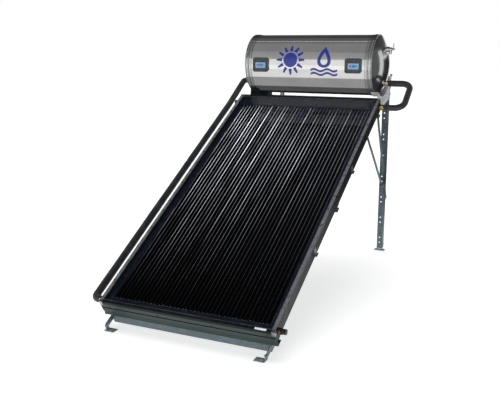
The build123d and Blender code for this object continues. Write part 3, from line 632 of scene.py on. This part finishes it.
def absorber_columns():
    """Places across where the section bends, close together over every bead."""
    marks = {-ABSORBER_HALF, ABSORBER_HALF}
    for strip in range(RISER_COUNT):
        middle = (strip - (RISER_COUNT - 1) / 2) * RISER_PITCH
        for centre, half, count in (
            (middle, BEAD_HALF, 8),
            (middle - SMALL_AT, SMALL_HALF, 6),
            (middle + SMALL_AT, SMALL_HALF, 6),
            (middle + RISER_PITCH / 2, LAP_HALF, 6),
        ):
            marks |= {round(centre + half * cos(pi * k / count), 6) for k in range(count + 1)}
    return sorted(m for m in marks if abs(m) <= ABSORBER_HALF)


absorber = bmesh.new()
slab(
    absorber, absorber_columns(), spread(ABSORBER_START, ABSORBER_END, 0.04),
    absorber_height, lambda x, s: ABSORBER_UNDER,
)
strips = add_piece("absorber_strips", absorber, "absorber", replaces=["absorber_plate"], sharp=60)

rivets = bmesh.new()
RIVET_RADIUS, RIVET_INSET = 0.0024, 0.007
RIVET_PROFILE = (
    (0, RIVET_RADIUS), (0.0006, RIVET_RADIUS), (0.0012, RIVET_RADIUS * 0.7), (0.0014, RIVET_RADIUS * 0.2),
)
for strip in range(RISER_COUNT):
    for shift in (-0.032, -0.012, 0.012, 0.032):
        x = (strip - (RISER_COUNT - 1) / 2) * RISER_PITCH + shift
        for s in (ABSORBER_START + RIVET_INSET, ABSORBER_END - RIVET_INSET):
            lathe(rivets, on_slope(x, s, ABSORBER_TOP), out_of_glass, RIVET_PROFILE, steps=10)
add_piece("absorber_rivets", rivets, "fastener")

# --- Painted liner round the absorber, below the glass ---
LINER_OUT_X, LINER_IN_X = 0.494, 0.452
LINER_FRONT, LINER_REAR = 0.006, LENGTH - 0.006
LINER_FRONT_IN, LINER_REAR_IN = 0.064, LENGTH - 0.092
LINER_LOW, LINER_HIGH = -0.0275, -0.0125
LINER_SHEET, LINER_BEND = 0.0008, 1.6
liner = bmesh.new()


def liner_height(x, s):
    """Height of the folded sheet: high at the wall, sloping down to the absorber."""
    inward = min(
        (LINER_OUT_X - abs(x)) / (LINER_OUT_X - LINER_IN_X),
        (LINER_REAR - s) / (LINER_REAR - LINER_REAR_IN),
        (s - LINER_FRONT) / (LINER_FRONT_IN - LINER_FRONT),
    )
    return LINER_LOW + (LINER_HIGH - LINER_LOW) * max(0.0, min(1.0, 1 - inward)) ** LINER_BEND


liner_sides = spread(LINER_FRONT, LINER_REAR, 0.05)
liner_ends = spread(-LINER_IN_X, LINER_IN_X, 0.05)
for across, up_slope in (
    (spread(-LINER_OUT_X, -LINER_IN_X, 0.006), liner_sides),
    (spread(LINER_IN_X, LINER_OUT_X, 0.006), liner_sides),
    (liner_ends, spread(LINER_FRONT, LINER_FRONT_IN, 0.008)),
    (liner_ends, spread(LINER_REAR_IN, LINER_REAR, 0.008)),
):
    slab(liner, across, up_slope, liner_height, lambda x, s: liner_height(x, s) - LINER_SHEET)
add_piece("absorber_liner", liner, "liner")

# --- Glazing bead: a slightly wavy soft lip that stands out from under the trims ---
bead = bmesh.new()
LIP_RADIUS, LIP_UP = 0.0016, -0.0018
LIP_X = HALF_WIDTH - 0.0195
LIP_FRONT, LIP_REAR = 0.0195, LENGTH - 0.0195
LIP_WANDER, LIP_STEPS = 0.0006, 90
for start, end in (
    ((-LIP_X, LIP_FRONT), (LIP_X, LIP_FRONT)), ((-LIP_X, LIP_REAR), (LIP_X, LIP_REAR)),
    ((-LIP_X, LIP_FRONT), (-LIP_X, LIP_REAR)), ((LIP_X, LIP_FRONT), (LIP_X, LIP_REAR)),
):
    line = []
    for share in spread(0, 1, 1 / LIP_STEPS):
        x = start[0] + (end[0] - start[0]) * share
        s = start[1] + (end[1] - start[1]) * share
        wander = LIP_WANDER * sin(share * 61) * sin(share * 23 + 1)
        line.append(on_slope(x + wander * (start[0] == end[0]), s + wander * (start[1] == end[1]), LIP_UP))
    side, other = frame_about(line[-1] - line[0])
    tube(bead, [ring_of(p, side, other, LIP_RADIUS, 8) for p in line])
add_piece("glazing_bead", bead, "bead", sharp=60)

# --- Front of the case: a flat band, a groove darkened by painted shade, and a hollow lower band ---
CASE_FACE = 0.0015
GROOVE_TOP, GROOVE_LOW = -0.0430, -0.0500
CASE_HALF = 0.4965
front_outline = [(CASE_FACE + depth, up) for depth, up in (
    (0, -0.002), (0, GROOVE_TOP + 0.0012), (0.0008, GROOVE_TOP), (0.0016, GROOVE_TOP - 0.0003),
    (0.0016, GROOVE_LOW + 0.0003), (0.0008, GROOVE_LOW), (0, GROOVE_LOW - 0.0010), (0, -0.0698),
    (0.0180, -0.0698), (0.0180, -0.0685), (0.0078, -0.0685), (0.0078, -0.0120),
    (0.0180, -0.0120), (0.0180, -0.0098), (0.0020, -0.0098), (0.0020, -0.002),
)]


def case_section(mirror):
    def place_at(x, s, z):
        return on_slope(x, LENGTH - s if mirror else s, z)
    return place_at


for node, mirror in (("case_end_front", False), ("case_end_rear", True)):
    end_face = bmesh.new()
    extrude_along(end_face, front_outline, spread(-CASE_HALF, CASE_HALF, 0.1), case_section(mirror))
    add_piece(node.replace("end", "panel"), end_face, "case", replaces=[node], sharp=25)

# Black strips set into both grooves: painted shade standing in for the shadow inside each groove.
seams = bmesh.new()
SEAM_FACE, SEAM_BACK = CASE_FACE + 0.0007, CASE_FACE + 0.0017
seam_outline = [
    (SEAM_FACE, GROOVE_TOP), (SEAM_BACK, GROOVE_TOP), (SEAM_BACK, GROOVE_LOW), (SEAM_FACE, GROOVE_LOW),
    (SEAM_FACE + 0.0003, (GROOVE_TOP + GROOVE_LOW) / 2),
]
for mirror in (False, True):
    extrude_along(seams, seam_outline, spread(-CASE_HALF, CASE_HALF, 0.1), case_section(mirror))
add_piece("case_groove_shade", seams, "shadow_gap", sharp=25)

# --- Mount rails: channels below the case, the front one behind a hollow fascia ---
RAIL_TOP, RAIL_LOW = -0.0702, -0.1000
RAIL_WIDTH, RAIL_SHEET = 0.040, 0.002
RAIL_HALF = 0.500
FASCIA_DEPTH = 0.0050
rails = bmesh.new()


def channel(starts, fascia):
    """A channel section across the slope, open at the back; its face may be hollow."""
    arc = spread(0, 1, 0.125)
    depth = FASCIA_DEPTH if fascia else 0
    face = [(depth * sin(pi * t), RAIL_TOP + (RAIL_LOW - RAIL_TOP) * t) for t in arc]
    inner = [(a + RAIL_SHEET, b - RAIL_SHEET * (1 - 2 * t)) for (a, b), t in zip(face, arc)]
    outline = [*face, (RAIL_WIDTH, RAIL_LOW), (RAIL_WIDTH, RAIL_LOW + RAIL_SHEET), *reversed(inner)]
    outline += [(RAIL_WIDTH, RAIL_TOP - RAIL_SHEET), (RAIL_WIDTH, RAIL_TOP)]
    return [(starts + a, b) for a, b in outline]


for starts, fascia in ((0.0015, True), (0.970, False), (1.905, False)):
    extrude_along(rails, channel(starts, fascia), spread(-RAIL_HALF, RAIL_HALF, 0.1), on_slope)
add_piece("mount_channels", rails, "case", replaces=["mount_rails"], sharp=30)

# --- Back sheet with pressed swages ---
SHEET_TOP, SHEET_LOW = -0.0675, -0.0685
SWAGE_PITCH, SWAGE_HALF, SWAGE_RISE = 0.155, 0.022, 0.0045
SWAGE_REACH, SWAGE_RAMP = 0.44, 0.03
SWAGE_SPANS = ((0.075, 0.935), (1.045, 1.870))


def swage(x, s):
    """How far the sheet is pressed out at a place, in rows between the channels."""
    near = abs((x + SWAGE_PITCH / 2) % SWAGE_PITCH - SWAGE_PITCH / 2)
    if near >= SWAGE_HALF or abs(x) > SWAGE_REACH:
        return 0.0
    across = 0.5 + 0.5 * cos(pi * near / SWAGE_HALF)
    for low, high in SWAGE_SPANS:
        if low < s < high:
            return SWAGE_RISE * across * min(1.0, (s - low) / SWAGE_RAMP, (high - s) / SWAGE_RAMP)
    return 0.0


SHEET_INSET = 0.0095
swage_marks = set()
for low, high in SWAGE_SPANS:
    for step in (0, 0.01, 0.02, 0.03):
        swage_marks |= {low + step, low + (high - low - step)}
back_rows = [SHEET_INSET, *sorted(swage_marks), LENGTH - SHEET_INSET]
back = bmesh.new()
slab(
    back, spread(-CASE_HALF + 0.0005, CASE_HALF - 0.0005, 0.0055), back_rows,
    lambda x, s: SHEET_TOP - swage(x, s), lambda x, s: SHEET_LOW - swage(x, s),
)
add_piece("pressed_back", back, "zinc_slope", replaces=["back_sheet"])

# --- Screws with crossed recesses, at the places of the CAD screws ---
CROSS_ARM, CROSS_HALF, CROSS_DEPTH = 0.62, 0.17, 0.45


def screw_head(bm, base, axis, radius, height, turn):
    """A pan head with a crossed recess, from rings of points pressed down inside the cross."""
    axis = Vector(axis).normalized()
    side, other = frame_about(axis)
    shares = (0.0, 0.17, 0.3, 0.45, 0.58, 0.64, 0.8, 0.93, 1.0)
    steps = 32
    rows = []
    for share in shares[1:]:
        row = []
        for t in turns_of(steps):
            u, v = share * cos(t + turn), share * sin(t + turn)
            lift = height * sqrt(max(0.0, 1 - 0.75 * share ** 4))
            if share < 1 and share <= CROSS_ARM and (abs(u) < CROSS_HALF or abs(v) < CROSS_HALF):
                lift -= height * CROSS_DEPTH
            row.append(base + (side * cos(t) + other * sin(t)) * radius * share + axis * lift)
        rows.append(row)
    rows.append([p - axis * (p - base).dot(axis) for p in rows[-1]])
    grid = skin(bm, rows, closed_rows=True)
    middle = bm.verts.new(base + axis * height * (1 - CROSS_DEPTH))
    for k in range(steps):
        bm.faces.new((grid[0][(k + 1) % steps], grid[0][k], middle))
    bm.faces.new(list(reversed(grid[-1])))


screws = bmesh.new()
dark_screws = bmesh.new()
for low, high in islands("small_screws"):
    centre = (low + high) / 2
    depth = (centre - slope_origin).dot(out_of_glass)
    along = (centre - slope_origin).dot(climb)
    turn = rng.uniform(0, pi / 2)
    if centre.z > shell_low.z - 0.05:
        on_cover = Vector((centre.x, low.y + 0.0020, centre.z))
        screw_head(dark_screws, on_cover, (0, -1, 0), 0.004, 0.0020, turn)
    elif depth > -0.01:
        screw_head(screws, on_slope(centre.x, along, 0.0), out_of_glass, 0.0046, 0.0026, turn)
    else:
        screw_head(dark_screws, on_slope(centre.x, CASE_FACE, depth), -climb, 0.0046, 0.0024, turn)
add_piece("bright_screws", screws, "fastener", replaces=["small_screws"], sharp=30)
add_piece("dark_screws", dark_screws, "black_screws_and_shade_lines", sharp=30)

# --- Blue marks on the tank: a sun and a drop over two waves ---
MARK_LIFT, MARK_SHEET = 0.0006, 0.0004
MARK_ARC = radians(10)


def round_tank(start):
    """Gives the world place of a point across, round the tank from an angle, and out of its shell."""
    def place_at(x, arc, lift):
        turn = start + arc / TANK_RADIUS
        reach = TANK_RADIUS + lift
        return Vector((x, TANK_AXIS.y - reach * cos(turn), TANK_AXIS.z + reach * sin(turn)))
    return place_at


on_tank = round_tank(MARK_ARC)


def film(bm, centre_x, outer, inner, closed, layers):
    """A thin printed film between two lines of points, wrapped round the tank."""
    levels = []
    for lift in (MARK_LIFT, MARK_LIFT - MARK_SHEET):
        rows = []
        for share in spread(0, 1, 1 / layers):
            rows.append([
                on_tank(centre_x + ax + (bx - ax) * share, ay + (by - ay) * share, lift)
                for (ax, ay), (bx, by) in zip(outer, inner)
            ])
        levels.append(skin(bm, rows, closed_rows=closed))
    upper, lower = levels
    for end in (0, -1):
        stitch(bm, upper[end], lower[end], closed)
        if not closed:
            stitch(bm, [row[end] for row in upper], [row[end] for row in lower])


def circle(radius):
    return [(radius * cos(t), radius * sin(t)) for t in turns_of(48)]


def drop_line(height, half_width, lift):
    """A water drop: round below, drawn to a point above."""
    points = []
    for t in turns_of(64):
        u = sin(t) * sin(t / 2) ** 1.4
        points.append((half_width * u * 1.32, lift + height / 2 * cos(t)))
    return points


marks = bmesh.new()
SUN_X, DROP_X = -0.129, 0.111
RAY_START, RAY_LENGTH, RAY_HALF, RAY_TAPER = 0.060, 0.041, 0.0115, 0.0060
WAVE_REACH, WAVE_RISE, WAVE_HALF = 0.094, 0.0075, 0.0070
film(marks, SUN_X, circle(0.050), circle(0.0006), True, layers=8)
for ray in range(12):
    t = pi / 6 * ray
    way, off = (cos(t), sin(t)), (-sin(t), cos(t))
    edges = []
    for sign in (-1, 1):
        edge = []
        for share in (0, 0.25, 0.5, 0.75, 1.0):
            reach = RAY_START + RAY_LENGTH * share
            half = (RAY_HALF - RAY_TAPER * share) * sign
            edge.append((way[0] * reach + off[0] * half, way[1] * reach + off[1] * half))
        edges.append(edge)
    film(marks, SUN_X, *edges, False, layers=3)
film(marks, DROP_X, drop_line(0.148, 0.050, 0.024), drop_line(0.086, 0.026, 0.012), True, layers=4)
for level_at in (-0.066, -0.092):
    wave = [
        (u, level_at + WAVE_RISE * sin(u * 2 * pi / WAVE_REACH))
        for u in spread(-WAVE_REACH, WAVE_REACH, WAVE_REACH / 20)
    ]
    edges = ([(u, v + half) for u, v in wave] for half in (WAVE_HALF, -WAVE_HALF))
    film(marks, DROP_X, *edges, False, layers=2)
add_piece("tank_marks", marks, "decal", sharp=60)

# --- Labels on the two covers ---
LABEL_HALF_X, LABEL_HALF_Z, LABEL_DROP, LABEL_SHIFT = 0.037, 0.019, 0.003, 0.005
LABEL_RIM, BEZEL_THICK, PRINT_FACE = 0.003, 0.0008, -0.0011


def pill(half_x, half_z, corner, count=10):
    """A rectangle with round corners, as pairs."""
    points = []
    for quarter, (sx, sz) in enumerate(((1, 1), (-1, 1), (-1, -1), (1, -1))):
        for k in range(count + 1):
            t = pi / 2 * (quarter + k / count)
            a, b = corner * cos(t), corner * sin(t)
            points.append((sx * (half_x - corner) + a, sz * (half_z - corner) + b))
    return points


def plate(bm, centre, outline, thick, ease=0.0003):
    """A thin plate facing the front with an eased edge."""
    def ring(share, depth):
        return [Vector((centre.x + a * share, centre.y - depth, centre.z + b * share)) for a, b in outline]
    width = max(a for a, b in outline)
    grid = skin(bm, [ring(1, 0), ring(1, thick - ease), ring(1 - ease / width, thick)], closed_rows=True)
    bm.faces.new(grid[-1])
    bm.faces.new(list(reversed(grid[0])))


bezels, films, reds, darks = bmesh.new(), bmesh.new(), bmesh.new(), bmesh.new()
for node in ("heater_cover", "thermostat_cover"):
    low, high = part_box(node)
    face_y = low.y + 0.0012
    at = Vector(((low.x + high.x) / 2 + LABEL_SHIFT, face_y, (low.z + high.z) / 2 - LABEL_DROP))
    plate(bezels, at, pill(LABEL_HALF_X + LABEL_RIM, LABEL_HALF_Z + LABEL_RIM, 0.005), BEZEL_THICK)
    plate(films, at - Vector((0, BEZEL_THICK, 0)), pill(LABEL_HALF_X, LABEL_HALF_Z, 0.003), 0.0003, 0.0001)
    plate(reds, at + Vector((-0.020, PRINT_FACE, 0.001)), circle(0.0075), 0.0002, 0.0001)
    for shift, half in ((0.0065, 0.016), (0, 0.019), (-0.0065, 0.012)):
        bar_at = at + Vector((0.009 - 0.019 + half, PRINT_FACE, shift))
        plate(darks, bar_at, pill(half, 0.0019, 0.0015, 4), 0.0002, 0.0001)
add_piece("label_bezels", bezels, "cover")
add_piece("label_films", films, "label")
add_piece("label_dots", reds, "label_red")
add_piece("label_bars", darks, "label_dark")

# --- Blank rating plate on the front trim, near the right corner ---
rating = bmesh.new()
slab(
    rating, spread(0.395, 0.455, 0.012), spread(0.003, 0.015, 0.006),
    lambda x, s: 0.0008, lambda x, s: 0.0001,
)
add_piece("rating_plate", rating, "plate")

# --- Pipe insulation with a closed slit, uneven skin, ties, and a joint between two lengths ---
SLEEVE_RADIUS, SLEEVE_INNER = 0.0203, 0.0111
SLEEVE_STEP, SLEEVE_SIDES, SLIT_TURN = 0.012, 40, 3.6
PIPE_X = -(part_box("link_pipes")[0].x + 0.011)
LOOP_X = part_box("link_pipes")[1].x - 0.011
low_port = on_slope(0, 0.045, -0.037)
high_port = on_slope(0, LENGTH - 0.045, -0.037)
TANK_PORT_Z = TANK_AXIS.z - 0.118
ELBOW_RADIUS, LONG_RADIUS, LOOP_RADIUS = 0.024, 0.400, 0.060


def filleted(points, radius, step=SLEEVE_STEP):
    """Places along straight runs joined by tangent arcs, evenly spaced, with their directions."""
    line = [points[0]]
    for before, corner, after in zip(points, points[1:], points[2:]):
        into, away = (corner - before).normalized(), (after - corner).normalized()
        half_turn = into.angle(away) / 2
        reach = radius * tan(half_turn)
        inward = (away - into).normalized()
        centre = corner + inward * radius / cos(half_turn)
        first = corner - into * reach
        normal = into.cross(away).normalized()
        count = max(4, ceil(2 * half_turn * radius / step))
        for k in range(count + 1):
            turned = Matrix.Rotation(2 * half_turn * k / count, 3, normal) @ (first - centre)
            line.append(centre + turned)
    line.append(points[-1])
    even = []
    for a, b in zip(line, line[1:]):
        count = max(1, ceil((b - a).length / step))
        even += [a + (b - a) * k / count for k in range(count)]
    return even + [line[-1]]


def sleeve(bm, line, seed):
    """A soft tube round a line: a slit along it, shallow dents, and rolled ends."""
    local = random.Random(seed)
    phases = [local.uniform(0, 2 * pi) for _ in range(6)]
    outer_rows, inner_rows = [], []
    side = None
    total = len(line) - 1
    for k, point in enumerate(line):
        way = (line[min(k + 1, total)] - line[max(k - 1, 0)]).normalized()
        if side is None:
            side = Vector((1, 0, 0)) - way * way.x
            if side.length < 0.2:
                side = Vector((0, 0, 1)) - way * way.z
        side = (side - way * side.dot(way)).normalized()
        other = way.cross(side)
        distance = k * SLEEVE_STEP
        from_end = min(k, total - k) * SLEEVE_STEP
        swell = 0.00025 * sin(distance * 9 + phases[0]) + 0.0002 * sin(distance * 23 + phases[1])
        swell -= 0.0016 * exp(-from_end / 0.004)
        row = []
        for t in turns_of(SLEEVE_SIDES):
            gap = abs((t - SLIT_TURN + pi) % (2 * pi) - pi)
            dent = 0.0002 * sin(2 * t + distance * 4 + phases[2])
            groove = 0.0011 * exp(-((gap / 0.10) ** 2))
            reach = SLEEVE_RADIUS + swell + dent - groove
            row.append(point + (side * cos(t) + other * sin(t)) * reach)
        outer_rows.append(row)
        inner_rows.append(ring_of(point, side, other, SLEEVE_INNER, SLEEVE_SIDES))
    outer_grid = skin(bm, outer_rows, closed_rows=True)
    inner_grid = skin(bm, inner_rows, closed_rows=True)
    for end in (0, -1):
        stitch(bm, outer_grid[end], inner_grid[end], closed=True)


pipe_foot = Vector((-PIPE_X, low_port.y, low_port.z))
pipe_bend = on_slope(-PIPE_X, 1.900, -0.030)
tank_corner = Vector((-PIPE_X, TANK_AXIS.y, TANK_PORT_Z))
pipe_way = (pipe_bend - pipe_foot).normalized()
JOINT_ALONG = 1.185
sleeve_start = Vector((-0.530, low_port.y, low_port.z))
upper_end = tank_corner + (pipe_bend - tank_corner).normalized() * 0.025
loop_start = Vector((0.532, high_port.y, high_port.z))
loop_end = Vector((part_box("tank_ports")[1].x + 0.014, TANK_AXIS.y, TANK_PORT_Z))
loop_corners = [Vector((LOOP_X, high_port.y, high_port.z)), Vector((LOOP_X, TANK_AXIS.y, TANK_PORT_Z))]
lower_end = pipe_foot + pipe_way * JOINT_ALONG
upper_start = pipe_foot + pipe_way * (JOINT_ALONG + 0.0015)
for node, points, radius, seed in (
    ("downcomer_sleeve_lower", [sleeve_start, pipe_foot, lower_end], ELBOW_RADIUS, 3),
    ("downcomer_sleeve_upper", [upper_start, pipe_bend, upper_end], LONG_RADIUS, 4),
    ("hot_loop_sleeve", [loop_start, *loop_corners, loop_end], LOOP_RADIUS, 5),
):
    wrap = bmesh.new()
    sleeve(wrap, filleted(points, radius), seed)
    add_piece(node.replace("sleeve", "wrap"), wrap, "foam_sleeve", replaces=[node], sharp=60)

elbow = bmesh.new()
ELBOW_START, ELBOW_END = 0.0265, 0.042
elbow_points = [
    tank_corner + (pipe_bend - tank_corner).normalized() * ELBOW_START,
    tank_corner,
    tank_corner + Vector((ELBOW_END, 0, 0)),
]
sleeve(elbow, filleted(elbow_points, ELBOW_RADIUS, step=0.004), 9)
add_piece("elbow_wrap", elbow, "foam_sleeve", sharp=60)

ties = bmesh.new()
TIE_HALF, TIE_THICK, TIE_SUNK = 0.0024, 0.0008, 0.0004
TIE_HEAD = (0.0046, 0.0062, 0.0042)


def tie(bm, centre, way, turn):
    """A cable tie: a flat strap pulled into the foam, with its square head."""
    way = way.normalized()
    side, other = frame_about(way)
    rows = []
    for along, thick in ((-TIE_HALF, 0), (-TIE_HALF, TIE_THICK), (TIE_HALF, TIE_THICK), (TIE_HALF, 0)):
        rows.append(ring_of(centre + way * along, side, other, SLEEVE_RADIUS - TIE_SUNK + thick, 40))
    skin(bm, rows, closed_rows=True, closed_loop=True)
    out = side * cos(turn) + other * sin(turn)
    head = centre + out * (SLEEVE_RADIUS + 0.0022)
    rounded_box(bm, head, TIE_HEAD, (out, way, out.cross(way)), 0.0006)


for along in (0.10, 0.42, 0.80, JOINT_ALONG - 0.03, JOINT_ALONG + 0.03, 1.55):
    tie(ties, pipe_foot + pipe_way * along, pipe_way, rng.uniform(2.2, 3.6))
tie(ties, loop_start + Vector((0.018, 0, 0)), Vector((1, 0, 0)), 2.4)
tie(ties, loop_end + Vector((0.018, 0, 0)), Vector((1, 0, 0)), 2.4)
add_piece("cable_ties", ties, "black_cap")

# --- Rim clamps, painted-shade rim lines and a lock seam on the tank ---
clamps = bmesh.new()
RIM_REACH, CLAMP_INSET = TANK_RADIUS + 0.0034, 0.0135
LUG_SIZE, LUG_APART = (0.014, 0.0022, 0.010), 0.009
BOLT_PROFILE = (
    (0, 0.0038), (0.0006, 0.0044), (0.0042, 0.0044), (0.0048, 0.0020), (0.0260, 0.0020), (0.0268, 0.0014),
)
for rim_x, inward in ((RIM_LEFT, 1), (RIM_RIGHT, -1)):
    for turn in (radians(22), radians(158)):
        out = Vector((0, -cos(turn), sin(turn)))
        round_way = Vector((0, sin(turn), cos(turn)))
        axis_at = Vector((rim_x + inward * CLAMP_INSET, TANK_AXIS.y, TANK_AXIS.z))
        for sign in (-1, 1):
            lug = axis_at + out * (RIM_REACH + 0.004) + round_way * LUG_APART * sign
            rounded_box(clamps, lug, LUG_SIZE, ((1, 0, 0), round_way, out), 0.0007)
        start = axis_at + out * (RIM_REACH + 0.005) - round_way * 0.015
        lathe(clamps, start, round_way, BOLT_PROFILE, 18)
add_piece("rim_clamps", clamps, "fastener", sharp=30)

# Thin black rings at the rim band edges: painted shade standing in for the shadow in the gaps between the
# bands.
lines = bmesh.new()
LINE_HALF, LINE_SUNK = 0.0007, -0.0004
for rim_x, inward in ((RIM_LEFT, 1), (RIM_RIGHT, -1)):
    for offset, proud in ((0.0088, 0.0018), (0.0202, 0.0018), (0.0298, 0.0018), (0.0470, 0.0010)):
        ring_x = rim_x + inward * offset - TANK_AXIS.x
        rows = []
        section = ((-LINE_HALF, LINE_SUNK), (-LINE_HALF, proud), (LINE_HALF, proud), (LINE_HALF, LINE_SUNK))
        for shift, lift in section:
            reach = TANK_RADIUS + lift
            row = [Vector((ring_x + shift, reach * cos(t), reach * sin(t))) for t in turns_of(96)]
            rows.append([TANK_AXIS + point for point in row])
        skin(lines, rows, closed_rows=True, closed_loop=True)
add_piece("rim_shadow_lines", lines, "black_screws_and_shade_lines", sharp=30)

seam = bmesh.new()
SEAM_TURN = radians(205)
seam_x = spread(RIM_LEFT + 0.047, RIM_RIGHT - 0.047, 0.02)
seam_profile = (
    (-0.0065, 0.0002), (-0.0060, 0.0011), (0.0060, 0.0014),
    (0.0068, 0.0002), (0.0068, -0.0004), (-0.0065, -0.0004),
)
extrude_along(seam, seam_profile, seam_x, round_tank(SEAM_TURN))
add_piece("lock_seam", seam, "shell", sharp=30)

# --- Camera, floor and light ---
CAMERA_PLACE = Vector((1.7317, -3.9573, 1.4616))
CAMERA_YAW, CAMERA_PITCH, CAMERA_ROLL = 0.4374, 0.2116, 0.0021
FOCAL_LENGTH = 51.95

camera_data = bpy.data.cameras.new("camera")
camera_data.lens = FOCAL_LENGTH
camera_data.sensor_width = 36
camera = put("camera", camera_data)
camera.matrix_world = (
    Matrix.Translation(CAMERA_PLACE) @ Matrix.Rotation(CAMERA_YAW, 4, "Z")
    @ Matrix.Rotation(pi / 2 - CAMERA_PITCH, 4, "X") @ Matrix.Rotation(CAMERA_ROLL, 4, "Z")
)
bpy.context.scene.camera = camera

floor_bm = bmesh.new()
bmesh.ops.create_grid(floor_bm, x_segments=8, y_segments=8, size=40)
floor = put_mesh("floor", floor_bm)
floor_look, floor_bsdf = new_material("studio_floor", (0.5, 0.5, 0.5), roughness=0.75)
floor_bsdf.inputs["Emission Color"].default_value = (1, 1, 1, 1)
floor_bsdf.inputs["Emission Strength"].default_value = 0.7
floor_tone = noise(floor_look, 0.6, detail=2.0)
floor_colour = ramp(floor_tone, (0.3, (0.49, 0.49, 0.49)), (0.7, (0.51, 0.51, 0.51)))
coat(floor_bsdf, floor_colour)
floor.data.materials.append(floor_look)

world = bpy.data.worlds.new("studio")
bpy.context.scene.world = world
world.use_nodes = True
sky = world.node_tree.nodes["Background"]
sky.inputs["Strength"].default_value = 1.0
direction = add_node(world, "TexCoord").outputs["Generated"]
sky_height = coordinate(direction, "Z")


def sky_ramp(*stops):
    """Grey levels of the studio walls and ceiling by the sine of the elevation."""
    return ramp(sky_height, *((at, (grey, grey, grey)) for at, grey in stops))


front_sky = sky_ramp(
    (0.0, 1.0), (0.34, 1.0), (0.36, 0.42), (0.72, 0.36), (0.78, 0.1), (0.86, 0.03), (1.0, 0.02),
)
back_sky = sky_ramp((0.0, 1.0), (0.12, 1.0), (0.20, 0.09), (0.84, 0.02), (1.0, 0.02))
to_rear = remap(coordinate(direction, "Y"), 0.0, 1.0, -0.04, 0.04)
join(mix(to_rear, front_sky, back_sky), sky.inputs["Color"])


def show_in_reflections_only(obj, brightness):
    """Makes a stage sheet that only reflections see, and only from the side it faces."""
    glow = bpy.data.materials.new(obj.name)
    glow.use_nodes = True
    glow.node_tree.nodes.clear()
    emit = add_node(glow, "Emission", (("Strength", brightness),))
    two = add_node(glow, "MixShader")
    join(add_node(glow, "NewGeometry").outputs["Backfacing"], two.inputs["Fac"])
    join(emit.outputs[0], two.inputs[1])
    join(add_node(glow, "BsdfTransparent").outputs[0], two.inputs[2])
    join(two.outputs[0], add_node(glow, "OutputMaterial").inputs["Surface"])
    obj.data.materials.append(glow)
    for rays in ("camera", "diffuse", "shadow", "transmission"):
        setattr(obj, "visible_" + rays, False)


def aimed(centre, way, axis):
    """A placement at a centre, with an axis along a direction."""
    return Matrix.Translation(centre) @ Vector(way).to_track_quat(axis, "Y").to_matrix().to_4x4()


def card(name, centre, facing, size, brightness):
    """A flat studio card."""
    bm = bmesh.new()
    bmesh.ops.create_grid(bm, x_segments=2, y_segments=2, size=0.5)
    bmesh.ops.scale(bm, vec=(*size, 1), verts=bm.verts)
    obj = put_mesh(name, bm)
    obj.matrix_world = aimed(centre, facing, "Z")
    show_in_reflections_only(obj, brightness)


ARC_REACH, ARC_SPAN = 0.26, (0.45, -0.56)


def arc_card(name, turns, brightness):
    """A curved studio card round the tank, facing its axis; turns are degrees below the front."""
    bm = bmesh.new()
    rows = []
    for degrees in spread(*turns, 2.0):
        t = radians(degrees)
        y, z = TANK_AXIS.y - ARC_REACH * cos(t), TANK_AXIS.z - ARC_REACH * sin(t)
        rows.append([(x, y, z) for x in ARC_SPAN])
    skin(bm, rows)
    bm.normal_update()
    first = bm.faces[:][0]
    if first.normal.dot(TANK_AXIS - first.calc_center_median()) < 0:
        bmesh.ops.reverse_faces(bm, faces=bm.faces)
    show_in_reflections_only(put_mesh(name, bm), brightness)


STRIP_PLACE, STRIP_TARGET = Vector((1.0, 1.3, 3.25)), Vector((-0.3, 0.4, 0.95))
strip_data = bpy.data.lights.new("strip", "AREA")
strip_data.size = 1.1
strip_data.energy = 190
strip = put("strip", strip_data)
strip.matrix_world = aimed(STRIP_PLACE, STRIP_TARGET - STRIP_PLACE, "-Z")
strip.light_linking.receiver_collection = bpy.data.collections.new("strip_receivers")
strip.light_linking.receiver_collection.objects.link(strips)

sun_data = bpy.data.lights.new("overhead", "SUN")
sun_data.energy = 2.7
sun_data.angle = radians(55)
sun = put("overhead", sun_data)
sun.rotation_euler = (radians(-12), radians(-14), 0)
sun.visible_glossy = False

card("flag_right", (2.6, 1.0, 1.2), (-1, 0, 0), (2.6, 2.4), 0.14)
card("flag_rear", (1.8, 1.9, 0.75), (0, -1, 0), (2.4, 1.5), 0.02)
card("flag_low", (2.05, 2.05, 0.5), (0, 0, 1), (3.5, 2.3), 0.05)
card("dome_glow", (1.3, 1.45, 1.3), (-0.8, -0.6, 0), (0.3, 0.9), 1.0)
for name, turns, brightness in (
    ("under_tank_white", (10.4, 31.5), 0.95), ("under_tank_grey", (31.5, 61), 0.39),
    ("under_tank_dark", (61, 88), 0.10), ("under_tank_black", (88, 150), 0.01),
    ("over_tank_front", (-58.7, -32.7), 0.27), ("over_tank_middle", (-64.2, -58.7), 0.17),
    ("over_tank_line", (-67, -64.2), 0.55), ("over_tank_rear", (-82, -67), 0.12),
    ("over_tank_dark", (-125, -82), 0.06),
):
    arc_card(name, turns, brightness)

bpy.context.scene.view_settings.view_transform = "Standard"
bpy.context.scene.view_settings.look = "None"
